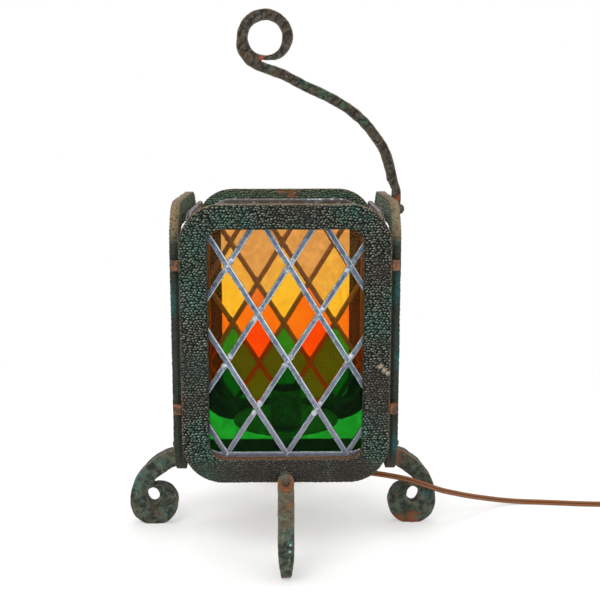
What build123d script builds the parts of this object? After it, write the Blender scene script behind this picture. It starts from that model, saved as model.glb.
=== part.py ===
# Iron lantern lamp: four hammered frames round a box of leaded glass, on four scroll feet,
# with a ringed carrying arm, an open lamp socket inside and a flat two-core cord.
# Millimetres. +Z is up, the floor is at zero and the front frame faces -Y.
import math
import os

from build123d import *

os.makedirs("parts", exist_ok=True)

# Frames: four alike, cut from flat bar and set round a square
frame_width = 203.2
frame_height = 274.5
frame_thickness = 9.0
stile_width = 27.2
rail_width = 24.5
corner_radius = 40.0
opening_radius = 14.0
edge_break = 0.7
corner_gap = 0.2
foot_height = 86.0

# Corner lugs that join one frame's side edge to the next one's front edge
lug_size = 7.5
lug_height = 10.0
lug_break = 1.6
lug_low_share = 0.27
lug_high_share = 0.786

# Leaded panels: U came round the edge, H came between the quarries
panel_setback = 5.1
came_width = 6.0
came_depth = 4.5
leaf = 0.8
heart = 1.6
glass_play = 0.1
panel_radius = 30.0
panel_drop = 2.7
panel_top_drop = 10.5
columns = 3
rows = 5
lattice_shift = 0.6
lattice_lean = 3.7
smallest_quarry_share = 0.03
seam_radius = 4.0

# Clips that carry the panel box from the bottom rails
clip_width = 10.0
clip_thickness = 1.2
clip_root = 12.0
clip_lip = 5.0
clip_place_share = 0.6

# Scroll feet
foot_width = 16.0
foot_toe_width = 9.6
toe_height = 30.0
tab_thickness = 10.0
reach_front = 46.2
reach_right = 53.8
reach_back = 46.2
reach_left = 60.0
curl_radius = 26.2
curl_sink = 1.8
eye_half_width = 6.8
eye_half_height = 9.4
eye_lift = 8.9
eye_shift = 0.8
curl_slit = 0.8
foot_rivet_height = 4.5
rivet_radius = 2.6
rivet_head_radius = 4.6
rivet_head_height = 3.0
rivet_play = 0.05
band_outer_shares = [
    (0.33, 0.962), (0.47, 0.908), (0.61, 0.840), (0.77, 0.726), (0.87, 0.632), (0.942, 0.540), (0.99, 0.418),
]
band_inner_shares = [(0.13, 0.783), (0.25, 0.742), (0.36, 0.690), (0.48, 0.630)]
band_crook_share = (0.555, 0.578)
band_heel_share = 0.82
curl_tip_shares = [(170, 1.0), (157, 0.99), (135, 0.955), (112, 0.885), (95, 0.815), (78, 0.75)]

# Carrying arm: one bar, a ring at the top, a flattened end under the bolt
bar = 11.0
arm_bar = 10.3
arm_depth = 10.5
ring_radius = 17.6
ring_x = -20.2
ring_rise = 174.3
ring_taper_shares = [(-92, 0.775), (-80, 0.795), (-65, 0.85), (-50, 0.90), (-30, 0.945), (-15, 0.98)]
arm_foot_inset = 0.2
arm_foot_rise = 29.8
pad_thickness = 8.0
pad_width = 16.0
pad_clear_rise = 19.8
pad_neck_rise = 43.8
arm_stations = 14
arm_shares = [
    (-0.171, 0.909), (-0.089, 0.826), (0.074, 0.770), (0.267, 0.687), (0.462, 0.604),
    (0.658, 0.501), (0.785, 0.401), (0.871, 0.302), (0.933, 0.210), (0.973, 0.103),
]
bolt_drop = 14.3
bolt_radius = 3.0
bolt_play = 0.08
bolt_head_radius = 5.4
bolt_head_height = 5.2
washer_thickness = 1.2
washer_radius = 7.5
nut_flats = 11.0
nut_thickness = 4.2
bolt_proud = 0.2

# Base strap between the left and right frames
strap_width = 38.0
strap_thickness = 3.2
ear_height = 16.0
ear_rivet_spacing = 26.0
ear_rivet_height = 11.0
ear_rivet_radius = 2.0
ear_head_radius = 3.6
ear_head_height = 1.8

# Nipple stack that carries the pan and the socket
nipple_radius = 4.9
nipple_bore_radius = 3.3
nipple_play = 0.1
nipple_below = 8.6
nipple_above = 1.2
spacer_radius = 7.0
pan_height = 22.0
pan_rise = 9.0
pan_floor_radius = 34.0
pan_radius = 55.0
pan_sheet = 1.2
pan_bead = 1.6
locknut_flats = 15.0
locknut_thickness = 4.0

# Lamp socket with a turn knob switch at the back
cap_hub_radius = 7.4
cap_hub_height = 4.0
cap_radius = 17.4
cap_height = 16.8
cap_sheet = 0.8
cap_shoulder_share = 0.55
shell_radius = 16.5
shell_sheet = 0.5
shell_overlap = 2.5
shell_height = 28.0
shell_bead = 0.7
liner_sheet = 0.5
liner_play = 0.1
liner_proud = 1.0
core_radius = 15.2
core_flat = 12.4
core_height = 13.0
screw_shell_radius = 13.25
screw_shell_sheet = 0.4
screw_shell_height = 16.5
contact_radius = 3.2
contact_height = 2.2
terminal_head_radius = 2.8
terminal_head_height = 1.7
terminal_shank_radius = 1.4
terminal_depth = 4.0
core_wire_radius = 1.1
core_wire_bend = 1.6
lead_rise = 3.0
contact_hole_radius = 5.0
contact_well_depth = 2.2
switch_height = 7.6
shaft_radius = 1.6
shaft_play = 0.05
shaft_hole_play = 0.5
shaft_depth = 9.0
knob_radius = 5.6
knob_length = 9.0
knob_stand = 5.0
knob_flutes = 12
flute_radius = 0.9

# Cord, its elbow boot, the put-away coil and the plug
cord_diameter = 5.5
boot_radius = 8.0
boot_collar = 5.0
boot_bend_radius = 12.0
boot_taper_length = 26.0
boot_exit_radius = 3.9
boot_turn = -7.0
bore_play = 0.1
coil_x = 415.0
coil_y = -5.0
coil_inner_radius = 21.0
coil_pitch = 6.0
coil_layer_step = 6.4
coil_turns_in = 3.75
coil_turns_out = 3.5
coil_samples = 96
coil_tail = 8.0
floor_clearance = 0.1
cord_route = [
    (65.0, -8.1, 63.6),
    (88.0, -11.4, 60.4),
    (108.0, -14.9, 58.8),
    (130.0, -17.2, 55.2),
    (150.0, -17.0, 48.6),
    (168.0, -12.6, 40.2),
    (186.0, -0.6, 32.0),
    (206.8, 14.0, 22.6),
    (228.0, 29.8, 13.8),
    (248.0, 42.6, 6.4),
    (271.0, 46.8, 2.9),
    (299.0, 44.4, 2.86),
    (330.0, 40.2, 2.86),
    (360.4, 37.3, 2.86),
]
cord_lead_out = 12.0
cord_lead_in = 26.0
plug_relief_length = 30.0
plug_relief_radius = 5.0
plug_relief_tip = 0.35
plug_body_length = 24.0
plug_body_width = 24.0
plug_edge_break = 2.0
blade_length = 17.0
blade_root = 6.0
blade_width = 6.4
blade_thickness = 1.5
blade_spacing = 12.7

sides = {"front": -90.0, "right": 0.0, "back": 90.0, "left": 180.0}
reaches = {"front": reach_front, "right": reach_right, "back": reach_back, "left": reach_left}
row_colours = ["green", "green", "red", "yellow", "tan", "tan"]

# Sizes that follow
half_width = frame_width / 2
frame_inner = half_width + corner_gap
frame_outer = frame_inner + frame_thickness
frame_middle = foot_height + frame_height / 2
frame_top = foot_height + frame_height
opening_width = frame_width - 2 * stile_width
opening_height = frame_height - 2 * rail_width
panel_outer = frame_inner - panel_setback
panel_inner = panel_outer - came_depth
panel_width = 2 * panel_inner
panel_bottom = foot_height + rail_width - panel_drop
panel_top = frame_top - panel_top_drop
panel_height = panel_top - panel_bottom
panel_middle = (panel_top + panel_bottom) / 2
channel = came_depth - 2 * leaf
glass_thickness = channel - 2 * glass_play
pitch = (panel_width - came_width) / columns
row_pitch = (panel_height - came_width) / rows
lattice_bottom = panel_bottom + came_width / 2
rivet_z = foot_height + foot_rivet_height
bolt_z = frame_top - bolt_drop
pad_inner = frame_outer + washer_thickness
pad_outer = pad_inner + pad_thickness
strap_top = foot_height + strap_thickness
ear_inner = frame_inner - strap_thickness
pan_z = foot_height + pan_height
socket_z = pan_z + pan_sheet
cap_top = socket_z + cap_height
shell_bottom = cap_top - shell_overlap + cap_sheet
shell_top = shell_bottom + shell_height
core_bottom = shell_bottom - shell_overlap
core_top = core_bottom + core_height
switch_z = core_bottom + switch_height
liner_radius = shell_radius - shell_sheet - liner_play
boot_top = foot_height - locknut_thickness
elbow_z = boot_top - boot_collar
exit_z = elbow_z - boot_bend_radius
exit_reach = boot_bend_radius + boot_taper_length
cord_radius = cord_diameter / 2
cord_floor = cord_radius + floor_clearance


def side_plane(turn, reach):
    # Faces outward at this reach from the lamp's axis, with its own up along Z
    outward = Vector(math.cos(math.radians(turn)), math.sin(math.radians(turn)), 0)
    along = Vector(-outward.Y, outward.X, 0)
    return Plane(origin=outward * reach, x_dir=along, z_dir=outward)


def radial_plane(turn, reach, shift=0.0):
    # Stands on edge: its x runs outward, its y up, its normal along the side
    face = side_plane(turn, reach)
    return Plane(origin=face.origin + face.x_dir * shift, x_dir=face.z_dir, z_dir=face.x_dir * -1)


def polar_point(centre, angle, distance):
    turn = math.radians(angle)
    return (centre[0] + distance * math.cos(turn), centre[1] + distance * math.sin(turn))


def outward_axis(turn):
    return Axis((0, 0, 0), side_plane(turn, frame_inner).z_dir)


def save(piece, name):
    piece.label = name
    export_step(piece, f"parts/{name}.step")


def lattice_places():
    # Middle of each diagonal came, for the rising and then the falling ones
    middle_row = rows / 2
    shift = lattice_shift + lattice_lean / 2
    for step in range(-columns, columns - 1):
        yield (step + middle_row / 2) * pitch + shift, 1
    for step in range(2 - columns, columns + 1):
        yield (step - middle_row / 2) * pitch + shift, -1


def lattice_sketch(bar_width, border_width):
    # Border and diagonals of one panel, seen from outside, as flat faces
    rise = rows * row_pitch
    reach = panel_height + panel_width
    with BuildSketch() as net:
        for middle, lean_way in lattice_places():
            run = lean_way * rows * pitch / 2 + lattice_lean
            slope = math.degrees(math.atan2(rise, run))
            with Locations((middle, panel_middle)):
                Rectangle(reach, bar_width, rotation=slope)
        with Locations((0, panel_middle)):
            RectangleRounded(panel_width, panel_height, panel_radius, mode=Mode.INTERSECT)
    with BuildSketch() as border:
        with Locations((0, panel_middle)):
            RectangleRounded(panel_width, panel_height, panel_radius)
            RectangleRounded(
                panel_width - 2 * border_width,
                panel_height - 2 * border_width,
                panel_radius - border_width,
                mode=Mode.SUBTRACT,
            )
    with BuildSketch() as whole:
        add(net.sketch)
        add(border.sketch)
    return whole.sketch


def quarry_faces():
    # The glass cells, each clear of the came's heart, keyed by colour
    net = lattice_sketch(heart + 2 * glass_play, heart + glass_play)
    with BuildSketch() as cells:
        with Locations((0, panel_middle)):
            RectangleRounded(panel_width, panel_height, panel_radius)
        add(net, mode=Mode.SUBTRACT)
    found = {colour: [] for colour in row_colours}
    for cell in cells.sketch.faces():
        if cell.area < smallest_quarry_share * pitch * row_pitch:
            continue
        row = round((cell.center().Y - lattice_bottom) / row_pitch)
        found[row_colours[row]].append(cell)
    return found


# Frames
for side, turn in sides.items():
    with BuildPart() as frame:
        with BuildSketch(side_plane(turn, frame_inner)):
            with Locations((0, frame_middle)):
                RectangleRounded(frame_width, frame_height, corner_radius)
                RectangleRounded(opening_width, opening_height, opening_radius, mode=Mode.SUBTRACT)
        extrude(amount=frame_thickness)
        chamfer(frame.faces().sort_by(outward_axis(turn))[-1].edges(), edge_break)
        with BuildSketch(side_plane(turn, frame_inner)):
            with Locations((0, rivet_z)):
                Circle(rivet_radius + rivet_play)
            if side in ("left", "right"):
                with Locations((0, foot_height + ear_rivet_height)):
                    with GridLocations(ear_rivet_spacing, 0, 2, 1):
                        Circle(ear_rivet_radius + rivet_play)
            if side == "right":
                with Locations((0, bolt_z)):
                    Circle(bolt_radius + bolt_play)
        extrude(amount=frame_thickness, mode=Mode.SUBTRACT)
    save(frame.part, f"{side}_frame")

# Corner lugs, two in the notch at each corner
with BuildPart() as lugs:
    for share in (lug_low_share, lug_high_share):
        lug_z = foot_height + share * frame_height - lug_height / 2
        with BuildSketch(Plane.XY.offset(lug_z)):
            with GridLocations(frame_width + lug_size, frame_width + lug_size, 2, 2):
                Rectangle(lug_size, lug_size)
        extrude(amount=lug_height)
    for lug in lugs.solids():
        away = Axis((0, 0, 0), Vector(lug.center().X, lug.center().Y, 0))
        chamfer(lug.edges().filter_by(Axis.Z).sort_by(away)[-1], lug_break)
save(lugs.part, "corner_lugs")

# Leaded panels: the came net and its quarries, one node a colour
leaves = lattice_sketch(came_width, came_width)
hearts = lattice_sketch(heart, heart)
quarries = quarry_faces()
for side, turn in sides.items():
    with BuildPart() as came:
        with BuildSketch(side_plane(turn, panel_inner)):
            add(leaves)
        extrude(amount=leaf)
        with BuildSketch(side_plane(turn, panel_inner + leaf)):
            add(hearts)
        extrude(amount=channel)
        with BuildSketch(side_plane(turn, panel_outer - leaf)):
            add(leaves)
        extrude(amount=leaf)
    save(came.part, f"{side}_came")
    for colour, cells in quarries.items():
        with BuildPart() as glass:
            with BuildSketch(side_plane(turn, panel_inner + leaf + glass_play)):
                for cell in cells:
                    add(cell)
            extrude(amount=glass_thickness)
        save(glass.part, f"{side}_{colour}_glass")

# Solder beads down the four corners of the glass box
seam_length = panel_height - 2 * panel_radius
with BuildPart() as seams:
    with BuildSketch(Plane.XY.offset(panel_bottom + panel_radius)):
        for x_way in (-1, 1):
            for y_way in (-1, 1):
                with Locations((x_way * panel_inner, y_way * panel_inner)):
                    Circle(seam_radius)
        Rectangle(panel_width, 2 * panel_outer, mode=Mode.SUBTRACT)
        Rectangle(2 * panel_outer, panel_width, mode=Mode.SUBTRACT)
    extrude(amount=seam_length)
save(seams.part, "solder_seams")

# J clips brazed to the bottom rails
with BuildPart() as clips:
    for turn in sides.values():
        for way in (-1, 1):
            place = way * clip_place_share * half_width
            with BuildSketch(radial_plane(turn, 0, place)):
                with BuildLine():
                    Polyline(
                        (frame_inner, panel_bottom),
                        (panel_inner, panel_bottom),
                        (panel_inner, panel_bottom + clip_lip),
                        (panel_inner - clip_thickness, panel_bottom + clip_lip),
                        (panel_inner - clip_thickness, panel_bottom - clip_thickness),
                        (frame_inner - clip_thickness, panel_bottom - clip_thickness),
                        (frame_inner - clip_thickness, panel_bottom - clip_root),
                        (frame_inner, panel_bottom - clip_root),
                        close=True,
                    )
                make_face()
            extrude(amount=clip_width / 2, both=True)
save(clips.part, "panel_clips")

# Scroll feet, each riveted to the outside of a bottom rail
for side, turn in sides.items():
    reach = reaches[side]
    curl_centre = (reach - curl_radius, curl_radius - curl_sink)
    eye_centre = (curl_centre[0] + eye_shift, curl_centre[1] + eye_lift)
    tab_top = rivet_z + foot_width / 2
    tab_foot = foot_height - edge_break
    crook = (band_crook_share[0] * reach, band_crook_share[1] * foot_height)
    slit_end = (eye_centre[0], eye_centre[1] + eye_half_height / 2)
    with BuildPart() as foot:
        with BuildSketch(radial_plane(turn, frame_outer)):
            with BuildLine():
                outer = Spline(
                    (tab_thickness, tab_foot),
                    *[(u * reach, v * foot_height) for u, v in band_outer_shares],
                    (reach, curl_centre[1]),
                    tangents=[(1, -0.3), (0, -1)],
                )
                inner = Spline(
                    crook,
                    *[(u * reach, v * foot_height) for u, v in reversed(band_inner_shares)],
                    (0, band_heel_share * foot_height),
                )
                Line(inner @ 1, (0, tab_top))
                Line((0, tab_top), (tab_thickness, tab_top))
                Line((tab_thickness, tab_top), outer @ 0)
                Line(outer @ 1, curl_centre)
                Line(curl_centre, inner @ 0)
            make_face()
            with BuildLine():
                around = CenterArc(curl_centre, curl_radius, 0, -180)
                tip = Spline(
                    around @ 1,
                    *[polar_point(curl_centre, turn, share * curl_radius) for turn, share in curl_tip_shares],
                )
                Line(tip @ 1, curl_centre)
                Line(curl_centre, around @ 0)
            make_face()
            with Locations((curl_centre[0], -curl_radius)):
                Rectangle(2 * curl_radius, 2 * curl_radius, mode=Mode.SUBTRACT)
            with Locations(eye_centre):
                Ellipse(eye_half_width, eye_half_height, mode=Mode.SUBTRACT)
            with BuildLine(mode=Mode.PRIVATE) as slit:
                Line(crook, slit_end)
            trace(slit.line, line_width=curl_slit, mode=Mode.SUBTRACT)
        extrude(amount=foot_width / 2, both=True)
        with BuildSketch(side_plane(turn, frame_outer - curl_radius)):
            with BuildLine():
                Polyline(
                    (-foot_width / 2, rivet_z),
                    (-foot_width / 2, toe_height),
                    (-foot_toe_width / 2, 0),
                    (foot_toe_width / 2, 0),
                    (foot_width / 2, toe_height),
                    (foot_width / 2, rivet_z),
                )
                RadiusArc((foot_width / 2, rivet_z), (-foot_width / 2, rivet_z), -foot_width / 2)
            make_face()
        extrude(amount=curl_radius + reach, mode=Mode.INTERSECT)
        with BuildSketch(side_plane(turn, frame_outer)):
            with Locations((0, rivet_z)):
                Circle(rivet_radius + rivet_play)
        extrude(amount=tab_thickness, mode=Mode.SUBTRACT)
    save(foot.part, f"{side}_foot")

# Rivets that hold the feet, domed outside and flush inside
with BuildPart() as foot_rivets:
    for turn in sides.values():
        with BuildSketch(radial_plane(turn, frame_inner)):
            seat = frame_thickness + tab_thickness
            with BuildLine():
                Polyline(
                    (seat + rivet_head_height, rivet_z),
                    (0, rivet_z),
                    (0, rivet_z + rivet_radius),
                    (seat, rivet_z + rivet_radius),
                    (seat, rivet_z + rivet_head_radius),
                )
                TangentArc(
                    (seat + rivet_head_height, rivet_z),
                    (seat, rivet_z + rivet_head_radius),
                    tangent=(0, 1),
                )
            make_face()
        shank_line = side_plane(turn, frame_inner)
        revolve(axis=Axis(shank_line.origin + Vector(0, 0, rivet_z), shank_line.z_dir))
save(foot_rivets.part, "foot_rivets")

# Base strap, bent up at both ends into ears
ear_line_z = foot_height + ear_rivet_height
with BuildPart() as strap:
    with BuildSketch(Plane.XZ):
        with BuildLine():
            Polyline(
                (-frame_inner, foot_height),
                (frame_inner, foot_height),
                (frame_inner, foot_height + ear_height),
                (ear_inner, foot_height + ear_height),
                (ear_inner, strap_top),
                (-ear_inner, strap_top),
                (-ear_inner, foot_height + ear_height),
                (-frame_inner, foot_height + ear_height),
                close=True,
            )
        make_face()
    extrude(amount=strap_width / 2, both=True)
    with BuildSketch(Plane.XY.offset(foot_height)):
        Circle(nipple_radius + nipple_play)
    extrude(amount=strap_thickness, mode=Mode.SUBTRACT)
    with BuildSketch(Plane.YZ):
        with Locations((0, ear_line_z)):
            with GridLocations(ear_rivet_spacing, 0, 2, 1):
                Circle(ear_rivet_radius + rivet_play)
    extrude(amount=frame_inner, both=True, mode=Mode.SUBTRACT)
save(strap.part, "base_strap")

# Strap rivets, flush outside and headed inside
with BuildPart() as strap_rivets:
    for side in ("left", "right"):
        with BuildSketch(side_plane(sides[side], ear_inner)):
            with Locations((0, ear_line_z)):
                with GridLocations(ear_rivet_spacing, 0, 2, 1):
                    Circle(ear_rivet_radius)
        extrude(amount=frame_outer - ear_inner)
        with BuildSketch(side_plane(sides[side], ear_inner)):
            with Locations((0, ear_line_z)):
                with GridLocations(ear_rivet_spacing, 0, 2, 1):
                    Circle(ear_head_radius)
        extrude(amount=-ear_head_height)
save(strap_rivets.part, "strap_rivets")

# Spacer tube between the strap and the pan
with BuildPart() as spacer:
    with BuildSketch(Plane.XY.offset(strap_top)):
        Circle(spacer_radius)
        Circle(nipple_radius + nipple_play, mode=Mode.SUBTRACT)
    extrude(amount=pan_z - strap_top)
save(spacer.part, "spacer_tube")

# Threaded nipple, hollow for the lead
nipple_top = socket_z + cap_hub_height + nipple_above
with BuildPart() as nipple:
    with BuildSketch(Plane.XY.offset(foot_height - nipple_below)):
        Circle(nipple_radius)
        Circle(nipple_bore_radius, mode=Mode.SUBTRACT)
    extrude(amount=nipple_top - foot_height + nipple_below)
save(nipple.part, "threaded_nipple")

with BuildPart() as locknut:
    with BuildSketch(Plane.XY.offset(boot_top)):
        RegularPolygon(locknut_flats / 2, 6, major_radius=False)
        Circle(nipple_radius + nipple_play, mode=Mode.SUBTRACT)
    extrude(amount=locknut_thickness)
save(locknut.part, "lock_nut")

# Spun pan under the socket
with BuildPart() as pan:
    with BuildSketch(Plane.XZ):
        with BuildLine():
            Polyline(
                (nipple_radius + nipple_play, pan_z),
                (pan_floor_radius, pan_z),
                (pan_radius, pan_z + pan_rise),
                (pan_radius, pan_z + pan_rise + pan_sheet),
                (pan_floor_radius, socket_z),
                (nipple_radius + nipple_play, socket_z),
                close=True,
            )
        make_face()
        with Locations((pan_radius, pan_z + pan_rise + pan_sheet / 2)):
            Circle(pan_bead)
    revolve(axis=Axis.Z)
save(pan.part, "pan")

# Socket cap, flaring from its hub to the shell
hub_top = socket_z + cap_hub_height
shoulder_z = socket_z + cap_shoulder_share * cap_height
cap_inner = cap_radius - cap_sheet
cap_bore = nipple_radius + nipple_play
with BuildPart() as cap:
    with BuildSketch(Plane.XZ):
        with BuildLine():
            Polyline(
                (cap_hub_radius, hub_top),
                (cap_hub_radius, socket_z),
                (cap_bore, socket_z),
                (cap_bore, hub_top + cap_sheet),
                (cap_hub_radius, hub_top + cap_sheet),
            )
            TangentArc((cap_inner, shoulder_z), (cap_hub_radius, hub_top + cap_sheet), tangent=(0, -1))
            Polyline(
                (cap_inner, shoulder_z),
                (cap_inner, cap_top),
                (cap_radius, cap_top),
                (cap_radius, shoulder_z),
            )
            TangentArc((cap_radius, shoulder_z), (cap_hub_radius, hub_top), tangent=(0, -1))
        make_face()
    revolve(axis=Axis.Z)
save(cap.part, "socket_cap")

# Socket shell with a bead over the cap and a rolled mouth
shell_inner = shell_radius - shell_sheet
with BuildPart() as shell:
    with BuildSketch(Plane.XZ):
        with Locations((shell_radius - shell_sheet / 2, (shell_bottom + shell_top) / 2)):
            Rectangle(shell_sheet, shell_height)
        with Locations((shell_radius, cap_top + shell_bead), (shell_radius, shell_top - shell_bead)):
            Circle(shell_bead)
        with Locations((shell_inner / 2, (shell_bottom + shell_top) / 2)):
            Rectangle(shell_inner, shell_height, mode=Mode.SUBTRACT)
    revolve(axis=Axis.Z)
    with BuildSketch(Plane.XZ.offset(-shell_radius - shell_bead)):
        with Locations((0, core_bottom + switch_height)):
            Circle(shaft_radius + shaft_hole_play)
    extrude(amount=shell_radius, mode=Mode.SUBTRACT)
save(shell.part, "socket_shell")

# Insulating liner, just proud of the shell
with BuildPart() as liner:
    with BuildSketch(Plane.XY.offset(shell_bottom)):
        Circle(liner_radius)
        Circle(liner_radius - liner_sheet, mode=Mode.SUBTRACT)
    extrude(amount=shell_height + liner_proud)
    with BuildSketch(Plane.XZ.offset(-liner_radius)):
        with Locations((0, switch_z)):
            Circle(shaft_radius + shaft_hole_play)
    extrude(amount=liner_radius / 2, mode=Mode.SUBTRACT)
save(liner.part, "socket_liner")

# Socket core with two flats for the terminals and a bore for the switch
terminal_z = core_bottom + core_height / 2
with BuildPart() as core:
    with BuildSketch(Plane.XY.offset(core_bottom)):
        Circle(core_radius)
        Rectangle(2 * core_flat, 2 * core_radius, mode=Mode.INTERSECT)
    extrude(amount=core_height)
    with BuildSketch(Plane.XY.offset(core_top)):
        Circle(contact_hole_radius)
    extrude(amount=-contact_well_depth, mode=Mode.SUBTRACT)
    with BuildSketch(Plane.XZ.offset(-core_radius)):
        with Locations((0, switch_z)):
            Circle(shaft_radius + shaft_play)
    extrude(amount=shaft_depth, mode=Mode.SUBTRACT)
    for turn in (0, 180):
        with BuildSketch(side_plane(turn, core_flat)):
            with Locations((0, terminal_z)):
                Circle(terminal_shank_radius)
        extrude(amount=-terminal_depth, mode=Mode.SUBTRACT)
save(core.part, "socket_core")

with BuildPart() as screw_shell:
    with BuildSketch(Plane.XY.offset(core_top)):
        Circle(screw_shell_radius + screw_shell_sheet)
        Circle(contact_hole_radius, mode=Mode.SUBTRACT)
    extrude(amount=screw_shell_sheet)
    with BuildSketch(Plane.XY.offset(core_top)):
        Circle(screw_shell_radius + screw_shell_sheet)
        Circle(screw_shell_radius, mode=Mode.SUBTRACT)
    extrude(amount=screw_shell_height)
save(screw_shell.part, "screw_shell")

with BuildPart() as contact:
    with BuildSketch(Plane.XY.offset(core_top - contact_well_depth)):
        Circle(contact_radius)
    extrude(amount=contact_height)
    fillet(contact.faces().sort_by(Axis.Z)[-1].edges(), contact_height / 2)
save(contact.part, "centre_contact")

with BuildPart() as terminals:
    for turn in (0, 180):
        with BuildSketch(side_plane(turn, core_flat)):
            with Locations((0, terminal_z)):
                Circle(terminal_shank_radius)
        extrude(amount=-terminal_depth)
        with BuildSketch(side_plane(turn, core_flat)):
            with Locations((0, terminal_z)):
                Circle(terminal_head_radius)
        extrude(amount=terminal_head_height)
save(terminals.part, "terminal_screws")

# Switch shaft and its fluted knob, facing back
knob_seat = shell_radius + knob_stand
with BuildPart() as shaft:
    with BuildSketch(Plane.XZ.offset(-core_radius + shaft_depth)):
        with Locations((0, switch_z)):
            Circle(shaft_radius)
    extrude(amount=-(knob_seat + knob_length / 2 - core_radius + shaft_depth))
save(shaft.part, "switch_shaft")

with BuildPart() as knob:
    with BuildSketch(Plane.XZ.offset(-knob_seat)):
        with Locations((0, switch_z)):
            Circle(knob_radius)
            with PolarLocations(knob_radius, knob_flutes):
                Circle(flute_radius, mode=Mode.SUBTRACT)
    extrude(amount=-knob_length)
    with BuildSketch(Plane.XZ.offset(-knob_seat)):
        with Locations((0, switch_z)):
            Circle(shaft_radius)
    extrude(amount=-knob_length / 2, mode=Mode.SUBTRACT)
save(knob.part, "switch_knob")

# Carrying arm: its face outline, narrowed by its edge outline
ring_z = bolt_z + ring_rise
ring_centre = (ring_x, ring_z)
arm_foot_x = pad_inner - arm_foot_inset
arm_foot_z = bolt_z + arm_foot_rise
pad_clear_z = bolt_z + pad_clear_rise
pad_bottom = bolt_z - pad_width / 2
ring_outer = ring_radius + bar
arm_top = ring_z + ring_outer
arm_span = arm_foot_x - ring_x
arm_rise = ring_z - arm_foot_z
with BuildLine():
    arm_middle = Spline(
        (ring_x - ring_radius - bar / 2, ring_z),
        *[(ring_x + u * arm_span, arm_foot_z + v * arm_rise) for u, v in arm_shares],
        (arm_foot_x, arm_foot_z),
    )


def arm_edge(distance):
    # One side of the bar, this far from its middle line
    steps = [step / arm_stations for step in range(arm_stations + 1)]
    return [arm_middle @ u + (arm_middle % u).rotate(Axis.Z, 90) * distance for u in steps]


with BuildPart() as arm:
    with BuildSketch(Plane.XZ):
        with BuildLine():
            upper = Spline(*arm_edge(arm_bar / 2))
            lower = Spline(*arm_edge(-arm_bar / 2))
            Line(upper @ 0, lower @ 0)
            Line(upper @ 1, lower @ 1)
        make_face()
        with BuildLine():
            Polyline(
                (pad_inner, pad_bottom),
                (pad_outer, pad_bottom),
                (pad_outer, pad_clear_z),
                (arm_foot_x + arm_bar / 2, arm_foot_z),
                (arm_foot_x - arm_bar / 2, arm_foot_z),
                (pad_inner, pad_clear_z),
                close=True,
            )
        make_face()
        with BuildLine():
            crown = CenterArc(ring_centre, ring_outer, 0, 180)
            Spline(
                *[polar_point(ring_centre, angle, share * ring_outer) for angle, share in ring_taper_shares],
                crown @ 0,
            )
            tail_turn, tail_share = ring_taper_shares[0]
            tail = CenterArc(ring_centre, tail_share * ring_outer, 180, 180 + tail_turn)
            Line(crown @ 1, tail @ 0)
        make_face()
        with Locations(ring_centre):
            Circle(ring_radius, mode=Mode.SUBTRACT)
    extrude(amount=pad_width / 2, both=True)
    with BuildSketch(Plane.YZ.offset(-pad_outer)):
        neck_z = bolt_z + pad_neck_rise
        with BuildLine():
            Polyline(
                (-pad_width / 2, bolt_z),
                (-pad_width / 2, pad_clear_z),
                (-arm_depth / 2, neck_z),
                (-arm_depth / 2, arm_top),
                (arm_depth / 2, arm_top),
                (arm_depth / 2, neck_z),
                (pad_width / 2, pad_clear_z),
                (pad_width / 2, bolt_z),
            )
            RadiusArc((pad_width / 2, bolt_z), (-pad_width / 2, bolt_z), pad_width / 2)
        make_face()
    extrude(amount=2 * pad_outer, mode=Mode.INTERSECT)
    with BuildSketch(Plane.YZ):
        with Locations((0, bolt_z)):
            Circle(bolt_radius + bolt_play)
    extrude(amount=pad_outer, mode=Mode.SUBTRACT)
save(arm.part, "handle")

# Pivot bolt, washer and nut
with BuildPart() as bolt:
    with BuildSketch(Plane.XZ):
        with BuildLine():
            Polyline(
                (pad_outer + bolt_head_height, bolt_z),
                (frame_inner - nut_thickness - bolt_proud, bolt_z),
                (frame_inner - nut_thickness - bolt_proud, bolt_z + bolt_radius),
                (pad_outer, bolt_z + bolt_radius),
                (pad_outer, bolt_z + bolt_head_radius),
            )
            TangentArc(
                (pad_outer + bolt_head_height, bolt_z),
                (pad_outer, bolt_z + bolt_head_radius),
                tangent=(0, 1),
            )
        make_face()
    revolve(axis=Axis((0, 0, bolt_z), (1, 0, 0)))
save(bolt.part, "pivot_bolt")

with BuildPart() as washer:
    with BuildSketch(Plane.YZ.offset(frame_outer)):
        with Locations((0, bolt_z)):
            Circle(washer_radius)
            Circle(bolt_radius + bolt_play, mode=Mode.SUBTRACT)
    extrude(amount=washer_thickness)
save(washer.part, "pivot_washer")

with BuildPart() as nut:
    with BuildSketch(Plane.YZ.offset(frame_inner)):
        with Locations((0, bolt_z)):
            RegularPolygon(nut_flats / 2, 6, major_radius=False)
            Circle(bolt_radius, mode=Mode.SUBTRACT)
    extrude(amount=-nut_thickness)
save(nut.part, "pivot_nut")

# Elbow boot under the lock nut, and the lead inside it
heading = Vector(math.cos(math.radians(boot_turn)), math.sin(math.radians(boot_turn)), 0)
boot_plane = Plane(origin=(0, 0, 0), x_dir=heading, z_dir=heading.cross(Vector(0, 0, 1)))
exit_plane = Plane(origin=heading * exit_reach + Vector(0, 0, exit_z), z_dir=heading)
cone_plane = Plane(origin=heading * boot_bend_radius + Vector(0, 0, exit_z), z_dir=heading)


def lead_line(top):
    # From this height down the nipple, round the boot's elbow and out of its tip
    with BuildLine(boot_plane) as line:
        Line((0, top), (0, elbow_z))
        JernArc((0, elbow_z), (0, -1), boot_bend_radius, 90)
        Line((boot_bend_radius, exit_z), (exit_reach, exit_z))
    return line.line


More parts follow.
